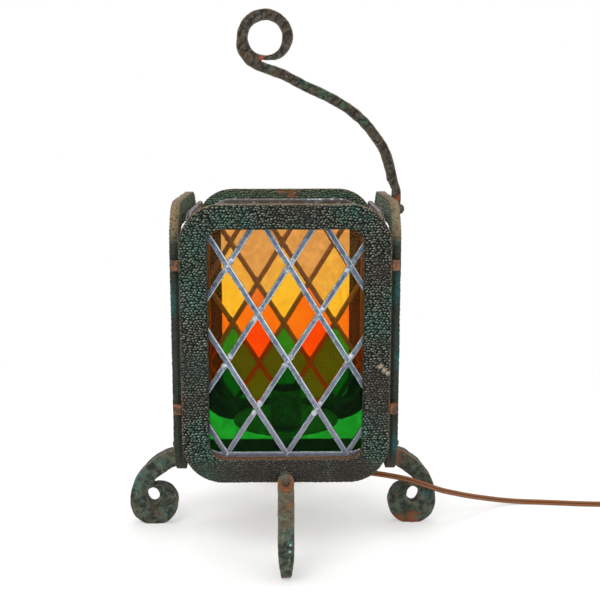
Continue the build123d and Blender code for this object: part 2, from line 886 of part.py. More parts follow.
with BuildPart() as boot:
    with BuildSketch(Plane.XY.offset(elbow_z)):
        Circle(boot_radius)
    extrude(amount=boot_collar)
    with BuildSketch(Plane.XY.offset(elbow_z)):
        Circle(boot_radius)
    elbow_centre = heading * boot_bend_radius + Vector(0, 0, elbow_z)
    revolve(axis=Axis(elbow_centre, boot_plane.z_dir), revolution_arc=90)
    with BuildSketch(cone_plane):
        Circle(boot_radius)
    with BuildSketch(exit_plane):
        Circle(boot_exit_radius)
    loft()
    with BuildSketch(Plane.XY.offset(boot_top)):
        Circle(cord_radius + bore_play)
    sweep(path=lead_line(boot_top), mode=Mode.SUBTRACT)
    with BuildSketch(Plane.XY.offset(foot_height - nipple_below)):
        Circle(nipple_radius + nipple_play)
    extrude(amount=nipple_below - locknut_thickness, mode=Mode.SUBTRACT)
save(boot.part, "elbow_boot")

lead_top = hub_top + lead_rise
wire_x = core_flat + core_wire_radius + nipple_play
wire_end = terminal_z - terminal_head_radius
with BuildPart() as inner_lead:
    with BuildSketch(Plane.XY.offset(lead_top)):
        Circle(cord_radius)
    sweep(path=lead_line(lead_top))
    for way in (-1, 1):
        with BuildLine(Plane.XZ) as wire:
            FilletPolyline(
                (way * cord_radius / 2, lead_top),
                (way * cord_radius / 2, lead_top + 2 * core_wire_bend),
                (way * wire_x, core_bottom - 2 * core_wire_radius),
                (way * wire_x, wire_end),
                radius=core_wire_bend,
            )
        with BuildSketch(Plane.XY.offset(lead_top)):
            with Locations((way * cord_radius / 2, 0)):
                Circle(core_wire_radius)
        sweep(path=wire.line)
save(inner_lead.part, "inner_lead")


def coil_place(turns):
    # A point of the coil this many turns from its innermost one, and the way it runs
    climb = min(max(2 * turns + 0.5, 0), 1)
    ease = climb * climb * (3 - 2 * climb)
    slope = 12 * climb * (1 - climb) * coil_layer_step
    radius = coil_inner_radius + coil_pitch * abs(turns)
    growth = math.copysign(coil_pitch, turns)
    angle = math.radians(90) - math.tau * (turns + coil_turns_in)
    out = Vector(math.cos(angle), math.sin(angle), 0)
    along = Vector(out.Y, -out.X, 0)
    centre = Vector(coil_x, coil_y, cord_floor)
    place = centre + out * radius + Vector(0, 0, coil_layer_step * ease)
    way = along * math.tau * radius + out * growth + Vector(0, 0, slope)
    return place, way.normalized()


def biarc(start, start_way, end, end_way):
    # Two arcs that leave and arrive along the given ways
    chord = end - start
    both = chord.dot(start_way + end_way)
    part = 2 * (1 - start_way.dot(end_way))
    handle = (math.sqrt(both * both + part * chord.dot(chord)) - both) / part
    first = start + start_way * handle
    last = end - end_way * handle
    joint = (first + last) / 2
    TangentArc(start, joint, tangent=start_way)
    TangentArc(joint, end, tangent=last - first)


# Free stretch of cord, from the boot to the coil, with arcs as large as its runs allow
coil_start, coil_way = coil_place(-coil_turns_in)
coil_mouth = coil_start - coil_way * cord_diameter
coil_approach = coil_mouth - coil_way * cord_lead_in
boot_mouth = exit_plane.origin
boot_away = boot_mouth + heading * cord_lead_out
cord_bends = [Vector(point) for point in cord_route]
route = [boot_mouth, boot_away, *cord_bends, coil_approach, coil_mouth]
runs = [b - a for a, b in zip(route, route[1:])]
radii = []
for before, after in zip(runs, runs[1:]):
    turn = math.radians(before.get_angle(after))
    radii.append(0.45 * min(before.length, after.length) / math.tan(turn / 2))
print("cord runs", [round(run.length, 1) for run in runs])
print("cord radii", [round(radius, 1) for radius in radii])
with BuildPart() as cord:
    with BuildLine() as cord_line:
        FilletPolyline(*route, radius=radii)
    with BuildSketch(exit_plane):
        Circle(cord_radius)
    sweep(path=cord_line.line)
save(cord.part, "cord_lead")
cord_length = sum(edge.length for edge in cord_line.edges())
cord_volume = math.pi * cord_radius**2 * cord_length
print("cord volume", round(cord.part.volume), "section by length", round(cord_volume))

# The put-away length, spiralled in on the floor and out again on top
quarters = round(4 * (coil_turns_in + coil_turns_out))
places = [coil_place(step / 4 - coil_turns_in) for step in range(quarters + 1)]
coil_end, coil_end_way = places[-1]
coil_tip = coil_end + coil_end_way * coil_tail
with BuildPart() as coil:
    with BuildLine() as coil_line:
        Line(coil_mouth, coil_start)
        for here, there in zip(places, places[1:]):
            biarc(*here, *there)
        Line(coil_end, coil_tip)
    with BuildSketch(Plane(origin=coil_mouth, z_dir=coil_way)):
        Circle(cord_radius)
    sweep(path=coil_line.line)
save(coil.part, "cord_coil")
coil_length = sum(edge.length for edge in coil_line.edges())
coil_volume = math.pi * cord_radius**2 * coil_length
print("coil volume", round(coil.part.volume), "section by length", round(coil_volume))
print("cord length", round(cord_length + coil_length))
count = round(coil_samples * (coil_turns_in + coil_turns_out))
coil_wire = coil_line.wire()
points = [coil_wire @ (step / count) for step in range(count + 1)]
apart = round(coil_samples / 4)
least = min((a - b).length for i, a in enumerate(points) for b in points[i + apart:])
print("coil gap", round(least - cord_diameter, 2))

# Plug at the coil's end, lying flat on the floor
plug_x = coil_end_way.cross(Vector(0, 0, 1)).normalized()
plug_plane = Plane(origin=coil_tip, x_dir=plug_x, z_dir=coil_end_way)
body_plane = plug_plane.offset(plug_relief_length)
face_plane = body_plane.offset(plug_body_length)
plug_depth = 2 * (coil_tip.Z - floor_clearance)
with BuildPart() as plug:
    with BuildSketch(plug_plane):
        Circle(cord_radius + plug_relief_tip)
    with BuildSketch(body_plane):
        Circle(plug_relief_radius)
    loft()
    with BuildSketch(body_plane):
        RectangleRounded(plug_body_width, plug_depth, plug_edge_break)
    extrude(amount=plug_body_length)
    chamfer(plug.faces().sort_by(Axis.Y)[0].edges(), plug_edge_break / 2)
    with BuildSketch(face_plane):
        with GridLocations(blade_spacing, 0, 2, 1):
            Rectangle(blade_thickness, blade_width)
    extrude(amount=-blade_root, mode=Mode.SUBTRACT)
save(plug.part, "plug_body")

with BuildPart() as blades:
    with BuildSketch(face_plane.offset(-blade_root)):
        with GridLocations(blade_spacing, 0, 2, 1):
            Rectangle(blade_thickness, blade_width)
    extrude(amount=blade_root + blade_length)
save(blades.part, "plug_blades")
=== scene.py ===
import math
import bpy
import bmesh
from mathutils import Matrix, Vector


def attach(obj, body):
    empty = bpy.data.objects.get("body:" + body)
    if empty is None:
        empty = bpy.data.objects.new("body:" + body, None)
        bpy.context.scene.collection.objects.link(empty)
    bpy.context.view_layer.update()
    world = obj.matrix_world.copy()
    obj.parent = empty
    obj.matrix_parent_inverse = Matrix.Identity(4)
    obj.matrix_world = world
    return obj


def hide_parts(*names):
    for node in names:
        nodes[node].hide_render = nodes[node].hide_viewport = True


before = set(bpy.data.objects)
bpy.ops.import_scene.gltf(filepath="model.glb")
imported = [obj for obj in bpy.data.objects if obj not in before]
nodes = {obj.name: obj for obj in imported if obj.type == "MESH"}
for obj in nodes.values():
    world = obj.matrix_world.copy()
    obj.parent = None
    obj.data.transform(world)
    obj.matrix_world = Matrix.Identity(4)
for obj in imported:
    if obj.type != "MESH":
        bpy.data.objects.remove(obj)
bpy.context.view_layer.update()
sides = {"front": -90.0, "right": 0.0, "back": 90.0, "left": 180.0}


def say(text):
    print("lantern:", text)


def colour(red, green, blue):
    # a screen colour, 0 to 255, as the linear one that shaders take
    parts = [part / 255 for part in (red, green, blue)]
    return tuple(c / 12.92 if c <= 0.04045 else ((c + 0.055) / 1.055) ** 2.4 for c in parts) + (1.0,)


# Meshes: CAD copies, plain results of modifiers, and where each side of the lantern lies

def sideMatrix(side):
    # turns (along, up, outward) into the lantern's own x, y, z
    turn = math.radians(sides[side])
    outward = Vector((math.cos(turn), math.sin(turn), 0))
    return Matrix((Vector((-outward.y, outward.x, 0)), Vector((0, 0, 1)), outward)).transposed().to_4x4()


def newPiece(name, data):
    piece = bpy.data.objects.new(name, data)
    bpy.context.scene.collection.objects.link(piece)
    return piece


def cadCopy(node, name):
    mesh = nodes[node].data.copy()
    mesh.name = name
    tool = bmesh.new()
    tool.from_mesh(mesh)
    bmesh.ops.remove_doubles(tool, verts=tool.verts, dist=0.00001)
    tool.to_mesh(mesh)
    tool.free()
    mesh.materials.clear()
    return newPiece(name, mesh)


def settle(piece, smooth=True):
    # swaps the piece's modifiers for the plain mesh that they give
    bpy.context.view_layer.update()
    graph = bpy.context.evaluated_depsgraph_get()
    mesh = bpy.data.meshes.new_from_object(piece.evaluated_get(graph))
    old = piece.data
    piece.modifiers.clear()
    piece.data = mesh
    mesh.name = piece.name
    if old.users == 0:
        bpy.data.meshes.remove(old)
    mesh.polygons.foreach_set("use_smooth", [smooth] * len(mesh.polygons))
    return piece


def voxelled(piece, grain):
    change = piece.modifiers.new("grain", "REMESH")
    change.mode = "VOXEL"
    change.voxel_size = grain
    return piece


def finish(piece, body, slot, *replaced):
    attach(piece, body)
    if replaced:
        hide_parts(*replaced)
    return piece


# Node helpers, alike in geometry and material trees

def addNode(tree, kind, wires=None, **settings):
    node = tree.nodes.new(kind)
    for key, value in settings.items():
        setattr(node, key, value)
    for key, value in (wires or {}).items():
        join(tree, node.inputs[key], value)
    return node


def join(tree, socket, value):
    if isinstance(value, bpy.types.NodeSocket):
        tree.links.new(value, socket)
    else:
        socket.default_value = value


def sums(tree, operation, *values):
    node = addNode(tree, "ShaderNodeMath", operation=operation)
    for socket, value in zip(node.inputs, values):
        join(tree, socket, value)
    return node.outputs[0]


def times(tree, product, *others):
    for other in others:
        product = sums(tree, "MULTIPLY", product, other)
    return product


def scaled(tree, value, gain, base):
    # value * gain + base
    return sums(tree, "MULTIPLY_ADD", value, gain, base)


def vectors(tree, operation, *values):
    node = addNode(tree, "ShaderNodeVectorMath", operation=operation)
    for socket, value in zip(node.inputs, values):
        join(tree, socket, value)
    return node.outputs["Value" if operation in ("LENGTH", "DISTANCE", "DOT_PRODUCT") else "Vector"]


def axes(tree, vector):
    return addNode(tree, "ShaderNodeSeparateXYZ", {0: vector}).outputs


def vectorOf(tree, x=0.0, y=0.0, z=0.0):
    return addNode(tree, "ShaderNodeCombineXYZ", {0: x, 1: y, 2: z}).outputs[0]


def step(tree, value, low, high):
    # 0 below low, 1 above high, smooth between; the other way round if low is the larger
    wires = {"Value": value, "From Min": min(low, high), "From Max": max(low, high)}
    if low > high:
        wires.update({"To Min": 1.0, "To Max": 0.0})
    return addNode(tree, "ShaderNodeMapRange", wires, interpolation_type="SMOOTHSTEP").outputs["Result"]


def noise(tree, place, size, detail=4.0, roughness=0.6, seed=0.0, distortion=0.0):
    # noise whose lumps are about this many metres across
    wires = {"Vector": place, "Scale": 1.0 / size, "Detail": detail, "Roughness": roughness,
             "Distortion": distortion, "W": seed}
    return addNode(tree, "ShaderNodeTexNoise", wires, noise_dimensions="4D").outputs[0]


def stretched(tree, vector, size):
    return addNode(tree, "ShaderNodeVectorMath", {0: vector, "Scale": size}, operation="SCALE").outputs[0]


def pushed(tree, geometry, push):
    # the geometry moved along its own normals
    away = addNode(tree, "GeometryNodeInputNormal").outputs[0]
    wires = {"Geometry": geometry, "Offset": stretched(tree, away, push)}
    return addNode(tree, "GeometryNodeSetPosition", wires).outputs[0]


def newTree(name, sizes):
    tree = bpy.data.node_groups.new(name, "GeometryNodeTree")
    tree.interface.new_socket("Geometry", in_out="INPUT", socket_type="NodeSocketGeometry")
    for label, value in sizes.items():
        tree.interface.new_socket(label, in_out="INPUT", socket_type="NodeSocketFloat").default_value = value
    tree.interface.new_socket("Geometry", in_out="OUTPUT", socket_type="NodeSocketGeometry")
    return tree, tree.nodes.new("NodeGroupInput").outputs, tree.nodes.new("NodeGroupOutput")


def endTree(tree, end, geometry, material):
    whole = addNode(tree, "GeometryNodeRealizeInstances", {"Geometry": geometry})
    painted = addNode(tree, "GeometryNodeSetMaterial", {"Geometry": whole.outputs[0], "Material": material})
    tree.links.new(painted.outputs[0], end.inputs[0])
    return tree


def runTree(piece, tree, **sizes):
    change = piece.modifiers.new(tree.name, "NODES")
    change.node_group = tree
    for item in tree.interface.items_tree:
        if item.in_out == "INPUT" and item.name in sizes:
            change[item.identifier] = sizes[item.name]
    return piece


# Hammer marks: staggered rows of small pebbles over a side of the lantern

pebbleSizes = {"across": 0.0031, "down": 0.0025, "deep": 0.0045, "face": 0.1108, "stray": 0.55,
               "wanderSize": 0.016, "wanderAcross": 3.0, "wanderDown": 2.2}


def sidePlace(tree, place):
    # along the side, up, and out from the lantern's axis, whichever side it is
    x, y, z = axes(tree, place)
    outX, outY = sums(tree, "ABSOLUTE", x), sums(tree, "ABSOLUTE", y)
    onX = sums(tree, "GREATER_THAN", outX, outY)
    along = scaled(tree, onX, sums(tree, "SUBTRACT", y, x), x)
    return along, z, sums(tree, "MAXIMUM", outX, outY)


def faceShare(tree, place, away):
    # 1 where the surface looks out of the lantern's side, 0 on the edges of its frame
    x, y, z = axes(tree, place)
    onX = sums(tree, "GREATER_THAN", sums(tree, "ABSOLUTE", x), sums(tree, "ABSOLUTE", y))
    awayX, awayY, awayZ = (sums(tree, "ABSOLUTE", part) for part in axes(tree, away))
    share = scaled(tree, onX, sums(tree, "SUBTRACT", awayX, awayY), awayY)
    return step(tree, share, 0.3, 0.75)


def pebbles(tree, place, sizes):
    # how high each pebble stands, 0 to 1, its upper edge, and a number of its own
    along, up, out = sidePlace(tree, place)
    wander = sums(tree, "SUBTRACT", noise(tree, place, sizes["wanderSize"], 2.0, 0.5, 4.0), 0.5)
    column = scaled(tree, wander, sizes["wanderAcross"], sums(tree, "DIVIDE", along, sizes["across"]))
    row = scaled(tree, wander, sizes["wanderDown"], sums(tree, "DIVIDE", up, sizes["down"]))
    stagger = sums(tree, "FRACT", times(tree, sums(tree, "FLOOR", row), 0.5))
    depth = sums(tree, "SUBTRACT", out, sizes["face"])
    layer = sums(tree, "ADD", sums(tree, "DIVIDE", depth, sizes["deep"]), 0.5)
    spot = vectorOf(tree, sums(tree, "ADD", column, stagger), row, layer)
    cell = {"Vector": vectors(tree, "FLOOR", spot)}
    own = addNode(tree, "ShaderNodeTexWhiteNoise", cell, noise_dimensions="3D").outputs
    middle = (0.5, 0.5, 0.5)
    strays = vectors(tree, "SUBTRACT", own["Color"], middle)
    strays = vectors(tree, "MULTIPLY", strays, (sizes["stray"],) * 3)
    inside = vectors(tree, "SUBTRACT", vectors(tree, "FRACTION", spot), middle)
    inside = vectors(tree, "SUBTRACT", inside, strays)
    reach = vectors(tree, "LENGTH", vectors(tree, "MULTIPLY", inside, (1.0, 1.05, 0.7)))
    dome = step(tree, reach, 0.6, 0.12)
    upper = step(tree, axes(tree, inside)[1], 0.04, 0.2)
    crescent = times(tree, upper, step(tree, reach, 0.14, 0.24), step(tree, reach, 0.42, 0.32))
    return dome, crescent, own["Value"]


def forgingTree(name, material, pebbled):
    # broad dents and fine lumps, and on the frames the pebbles, pushed along the surface's normal
    sizes = {"dentSize": 0.012, "dentDepth": 0.0004, "lumpSize": 0.0043, "lumpDepth": 0.0003, "seed": 0.0}
    tree, given, end = newTree(name, sizes)
    place = addNode(tree, "GeometryNodeInputPosition").outputs[0]
    wires = {"Vector": place, "Scale": sums(tree, "DIVIDE", 1.0, given["dentSize"]), "W": given["seed"],
             "Detail": 1.5}
    dents = addNode(tree, "ShaderNodeTexNoise", wires, noise_dimensions="4D").outputs[0]
    if pebbled:
        away = addNode(tree, "GeometryNodeInputNormal").outputs[0]
        lumps = times(tree, pebbles(tree, place, pebbleSizes)[0], faceShare(tree, place, away))
    else:
        wires = {"Vector": place, "Scale": sums(tree, "DIVIDE", 1.0, given["lumpSize"]), "W": given["seed"]}
        cells = addNode(tree, "ShaderNodeTexVoronoi", wires, voronoi_dimensions="4D", feature="SMOOTH_F1")
        lumps = sums(tree, "SUBTRACT", 0.6, cells.outputs["Distance"])
    dentPush = times(tree, sums(tree, "SUBTRACT", dents, 0.52), given["dentDepth"])
    push = scaled(tree, sums(tree, "SUBTRACT", lumps, 0.5), given["lumpDepth"], dentPush)
    return endTree(tree, end, pushed(tree, given["Geometry"], push), material)


# Materials

def newMaterial(name):
    material = bpy.data.materials.new(name)
    material.use_nodes = True
    tree = material.node_tree
    return material, tree, tree.nodes["Principled BSDF"], addNode(tree, "ShaderNodeTexCoord").outputs["Object"]


def blend(tree, share, first, second, mode="MIX"):
    node = addNode(tree, "ShaderNodeMix", data_type="RGBA", blend_type=mode, clamp_factor=True)
    for socket, value in ((node.inputs[0], share), (node.inputs[6], first), (node.inputs[7], second)):
        join(tree, socket, value)
    return node.outputs[2]


def coat(tree, shade, share, tint):
    # a layer of this screen colour over the shade
    return blend(tree, share, shade, colour(*tint))


def surfaced(tree, shader, shade, rough, metal=0.0, shine=0.3):
    values = {"Base Color": shade, "Roughness": rough, "Metallic": metal, "Specular IOR Level": shine}
    for key, value in values.items():
        join(tree, shader.inputs[key], value)


def glossRange(tree, value, gloss, spread):
    wires = {"Value": value, "To Min": gloss, "To Max": gloss + spread}
    return addNode(tree, "ShaderNodeMapRange", wires).outputs[0]


def bumped(tree, shader, height, depth):
    bump = addNode(tree, "ShaderNodeBump", {"Height": height, "Distance": depth})
    tree.links.new(bump.outputs[0], shader.inputs["Normal"])


def spots(tree, place, patches, ragged):
    # patches as (x, y, z, radius), with a ragged edge
    whole = 0.0
    for x, y, z, radius in patches:
        far = sums(tree, "DIVIDE", vectors(tree, "DISTANCE", place, (x, y, z)), radius)
        whole = sums(tree, "MAXIMUM", whole, step(tree, scaled(tree, ragged, 2.4, far), 2.3, 1.3))
    return whole


def ironMaterial(name, look, pebbled=False):
    # dark iron with green patina, brown rust, pale worn edges with a painted highlight on them, and painted shade in
    # its hollows
    material, tree, shader, place = newMaterial(name)
    seed = look["seed"]
    patches = noise(tree, place, look["patchSize"], 5.0, 0.62, seed)
    rusty = noise(tree, place, look["rustSize"], 6.0, 0.7, seed + 7, 0.5)
    speckle = noise(tree, place, look["speckSize"], 3.0, 0.6, seed + 3)
    fine = noise(tree, place, 0.0007, 2.0, 0.5, seed + 5)
    shade = blend(tree, step(tree, speckle, 0.36, 0.66), colour(*look["dark"]), colour(*look["base"]))
    greens = sums(tree, "MAXIMUM", step(tree, patches, look["tealFrom"], look["tealFrom"] + 0.14),
                  spots(tree, place, look.get("greenSpots", []), speckle))
    teal = times(tree, greens, step(tree, speckle, 0.34, 0.62))
    shade = coat(tree, shade, teal, look["teal"])
    rust = sums(tree, "MAXIMUM", step(tree, rusty, look["rustFrom"], look["rustFrom"] + 0.12),
                times(tree, spots(tree, place, look.get("rustSpots", []), speckle), 0.8))
    shade = coat(tree, shade, times(tree, rust, look["rustShare"]), look["rust"])
    if pebbled:
        shade, relief = hammeredShade(tree, place, look, shade, patches, rusty, speckle, teal)
    else:
        shade, relief = creasedShade(tree, place, look, shade, patches, speckle)
    point = addNode(tree, "ShaderNodeNewGeometry").outputs["Pointiness"]
    # pale worn edges, with a painted highlight on them too
    shade = coat(tree, shade, times(tree, step(tree, point, 0.515, 0.56), look["edgeWearAndHighlight"]), look["edge"])
    # painted shade in the hollows
    shade = coat(tree, shade, times(tree, step(tree, point, 0.49, 0.45), look["hollow"]), look["grainAndShade"])
    for patch in ("orange", "pale"):
        if look.get(patch + "Spots"):
            share = times(tree, spots(tree, place, look[patch + "Spots"], speckle), 0.85)
            shade = coat(tree, shade, share, look[patch])
    surfaced(tree, shader, shade, glossRange(tree, speckle, look["gloss"], 0.3), look["metal"], look["shine"])
    bumped(tree, shader, scaled(tree, fine, 0.25, relief), look["bumpDepth"])
    return material


def hammeredShade(tree, place, look, shade, patches, rusty, speckle, teal):
    # the frames' pebbled faces and plain edges, with painted highlights on the pebbles' upper edges, painted light on
    # the inner faces, painted shade between the pebbles, in the gaps and round the opening, and how dull or rusty each
    # part of them is
    grainAndShade, zones = look["grainAndShade"], frameZones
    dome, crescent, own = pebbles(tree, place, pebbleSizes)
    along, up, out = sidePlace(tree, place)
    outer = roundedGap(tree, along, up, *frameOutline["outer"])
    inner = roundedGap(tree, along, up, *frameOutline["opening"])
    facing = faceShare(tree, place, addNode(tree, "ShaderNodeTexCoord").outputs["Normal"])
    worked = times(tree, facing, step(tree, scaled(tree, patches, 0.02, up), *zones["worked"]))
    # painted shade in the hollows between the pebbles
    pitShade = times(tree, step(tree, dome, 0.6, 0.1), scaled(tree, worked, 0.55, 0.35), look["pitShadeShare"], facing)
    shade = coat(tree, shade, pitShade, grainAndShade)
    # painted highlights on the pebbles' upper edges
    pebbleHighlights = times(tree, crescent, scaled(tree, worked, 0.8, 0.2), step(tree, own, 0.1, 0.75), facing)
    dull = times(tree, spots(tree, place, look["dullSpots"], patches), facing)
    shade = coat(tree, shade, times(tree, dull, 0.5), look["low"])
    pebbleHighlights = times(tree, pebbleHighlights, scaled(tree, dull, -0.5, 1.0), look["pebbleHighlightShare"])
    shade = blend(tree, pebbleHighlights, shade, blend(tree, teal, colour(*look["pebbleHighlight"]), colour(*look["tealPebbleHighlight"])))
    # painted light: the frames' inner faces are made lighter
    paintedInnerLight = times(tree, step(tree, out, *zones["inside"]), step(tree, speckle, 0.3, 0.6), 0.4)
    shade = coat(tree, shade, paintedInnerLight, look["inner"])
    narrow = blend(tree, step(tree, patches, 0.5, 0.58), colour(*look["side"]), colour(*look["tealSide"]))
    topped = times(tree, step(tree, up, *zones["top"]), step(tree, speckle, 0.25, 0.5))
    narrow = coat(tree, narrow, topped, look["topSide"])
    mottle = step(tree, noise(tree, place, 0.0024, 4.0, 0.65, look["seed"] + 13), 0.47, 0.62)
    narrow = coat(tree, narrow, times(tree, mottle, 0.6), grainAndShade)
    # dirt and painted shade darken the narrow faces towards the gap between neighbouring frames, more so lower down
    lower = scaled(tree, step(tree, up, *zones["gapDirtAndShadeHeight"]), 0.5, 0.3)
    narrow = coat(tree, narrow, times(tree, step(tree, out, *zones["gapDirtAndShade"]), lower), grainAndShade)
    plain = times(tree, sums(tree, "SUBTRACT", 1.0, facing), scaled(tree, speckle, 0.5, 0.55))
    shade = blend(tree, plain, shade, narrow)
    shadow = times(tree, step(tree, inner, *zones["shadow"]), step(tree, up, *zones["shadowHeight"]), facing, 0.6)
    shade = coat(tree, shade, shadow, grainAndShade)
    rim = times(tree, step(tree, outer, *zones["rim"]), facing, step(tree, rusty, 0.4, 0.6), 0.7)
    shade = coat(tree, shade, rim, look["rim"])
    low = times(tree, step(tree, up, *zones["low"]), step(tree, rusty, 0.3, 0.55), 0.55)
    shade = coat(tree, shade, low, look["low"])
    ledge = times(tree, step(tree, inner, *zones["ledge"]), step(tree, up, *zones["ledgeHeight"]),
                  step(tree, speckle, 0.3, 0.6), 0.85)
    shade = coat(tree, shade, ledge, look["ledge"])
    return shade, scaled(tree, speckle, 0.4, times(tree, dome, facing))


def creasedShade(tree, place, look, shade, patches, speckle):
    # hammer creases: short lines of painted shade with a painted highlight beside them
    grainAndShade, seed = look["grainAndShade"], look["seed"]
    folds = noise(tree, place, look["creaseSize"], 1.0, 0.5, seed + 9)
    fold = sums(tree, "ABSOLUTE", sums(tree, "SUBTRACT", folds, 0.5))
    here = step(tree, noise(tree, place, 0.009, 1.0, 0.5, seed + 10), 0.48, 0.6)
    # painted highlight on the bank beside each crease
    foldHighlight = times(tree, step(tree, fold, 0.012, 0.025), step(tree, fold, 0.055, 0.03), here, look["foldHighlightShare"])
    shade = coat(tree, shade, foldHighlight, look["foldHighlight"])
    # painted shade in the creases
    crease = times(tree, step(tree, fold, 0.018, 0.006), here)
    if look.get("bandGap"):
        # bands of painted shade across the sloping bar, dented in the bump as well
        x, y, z = axes(tree, place)
        count = sums(tree, "DIVIDE", sums(tree, "SUBTRACT", x, z), look["bandGap"])
        count = sums(tree, "FRACT", scaled(tree, patches, 2.5, count))
        far = sums(tree, "ABSOLUTE", sums(tree, "SUBTRACT", count, 0.5))
        broken = step(tree, noise(tree, place, 0.013, 1.0, 0.5, seed + 15), 0.42, 0.56)
        band = times(tree, step(tree, far, 0.2, 0.06), step(tree, speckle, 0.4, 0.55), broken)
        crease = sums(tree, "MAXIMUM", crease, band)
    shade = coat(tree, shade, times(tree, crease, look["creaseShare"]), grainAndShade)
    mottle = step(tree, noise(tree, place, 0.0014, 4.0, 0.7, seed + 13), 0.5, 0.68)
    shade = coat(tree, shade, times(tree, mottle, 0.5), grainAndShade)
    return shade, sums(tree, "SUBTRACT", speckle, times(tree, crease, 0.6))


def roundedGap(tree, along, up, width, height, corner):
    # distance to a rounded outline round the frames' middle, below 0 inside it
    lean = sums(tree, "ADD", sums(tree, "SUBTRACT", sums(tree, "ABSOLUTE", along), width / 2), corner)
    rise = sums(tree, "ABSOLUTE", sums(tree, "SUBTRACT", up, frameOutline["middle"]))
    rise = sums(tree, "ADD", sums(tree, "SUBTRACT", rise, height / 2), corner)
    past = vectorOf(tree, sums(tree, "MAXIMUM", lean, 0.0), sums(tree, "MAXIMUM", rise, 0.0))
    within = sums(tree, "MINIMUM", sums(tree, "MAXIMUM", lean, rise), 0.0)
    return sums(tree, "SUBTRACT", sums(tree, "ADD", vectors(tree, "LENGTH", past), within), corner)


# the frames' outer edge and opening as (width, height, corner), and the height of their middle
frameOutline = {"outer": (0.2032, 0.2745, 0.04), "opening": (0.1488, 0.2255, 0.014), "middle": 0.22325}
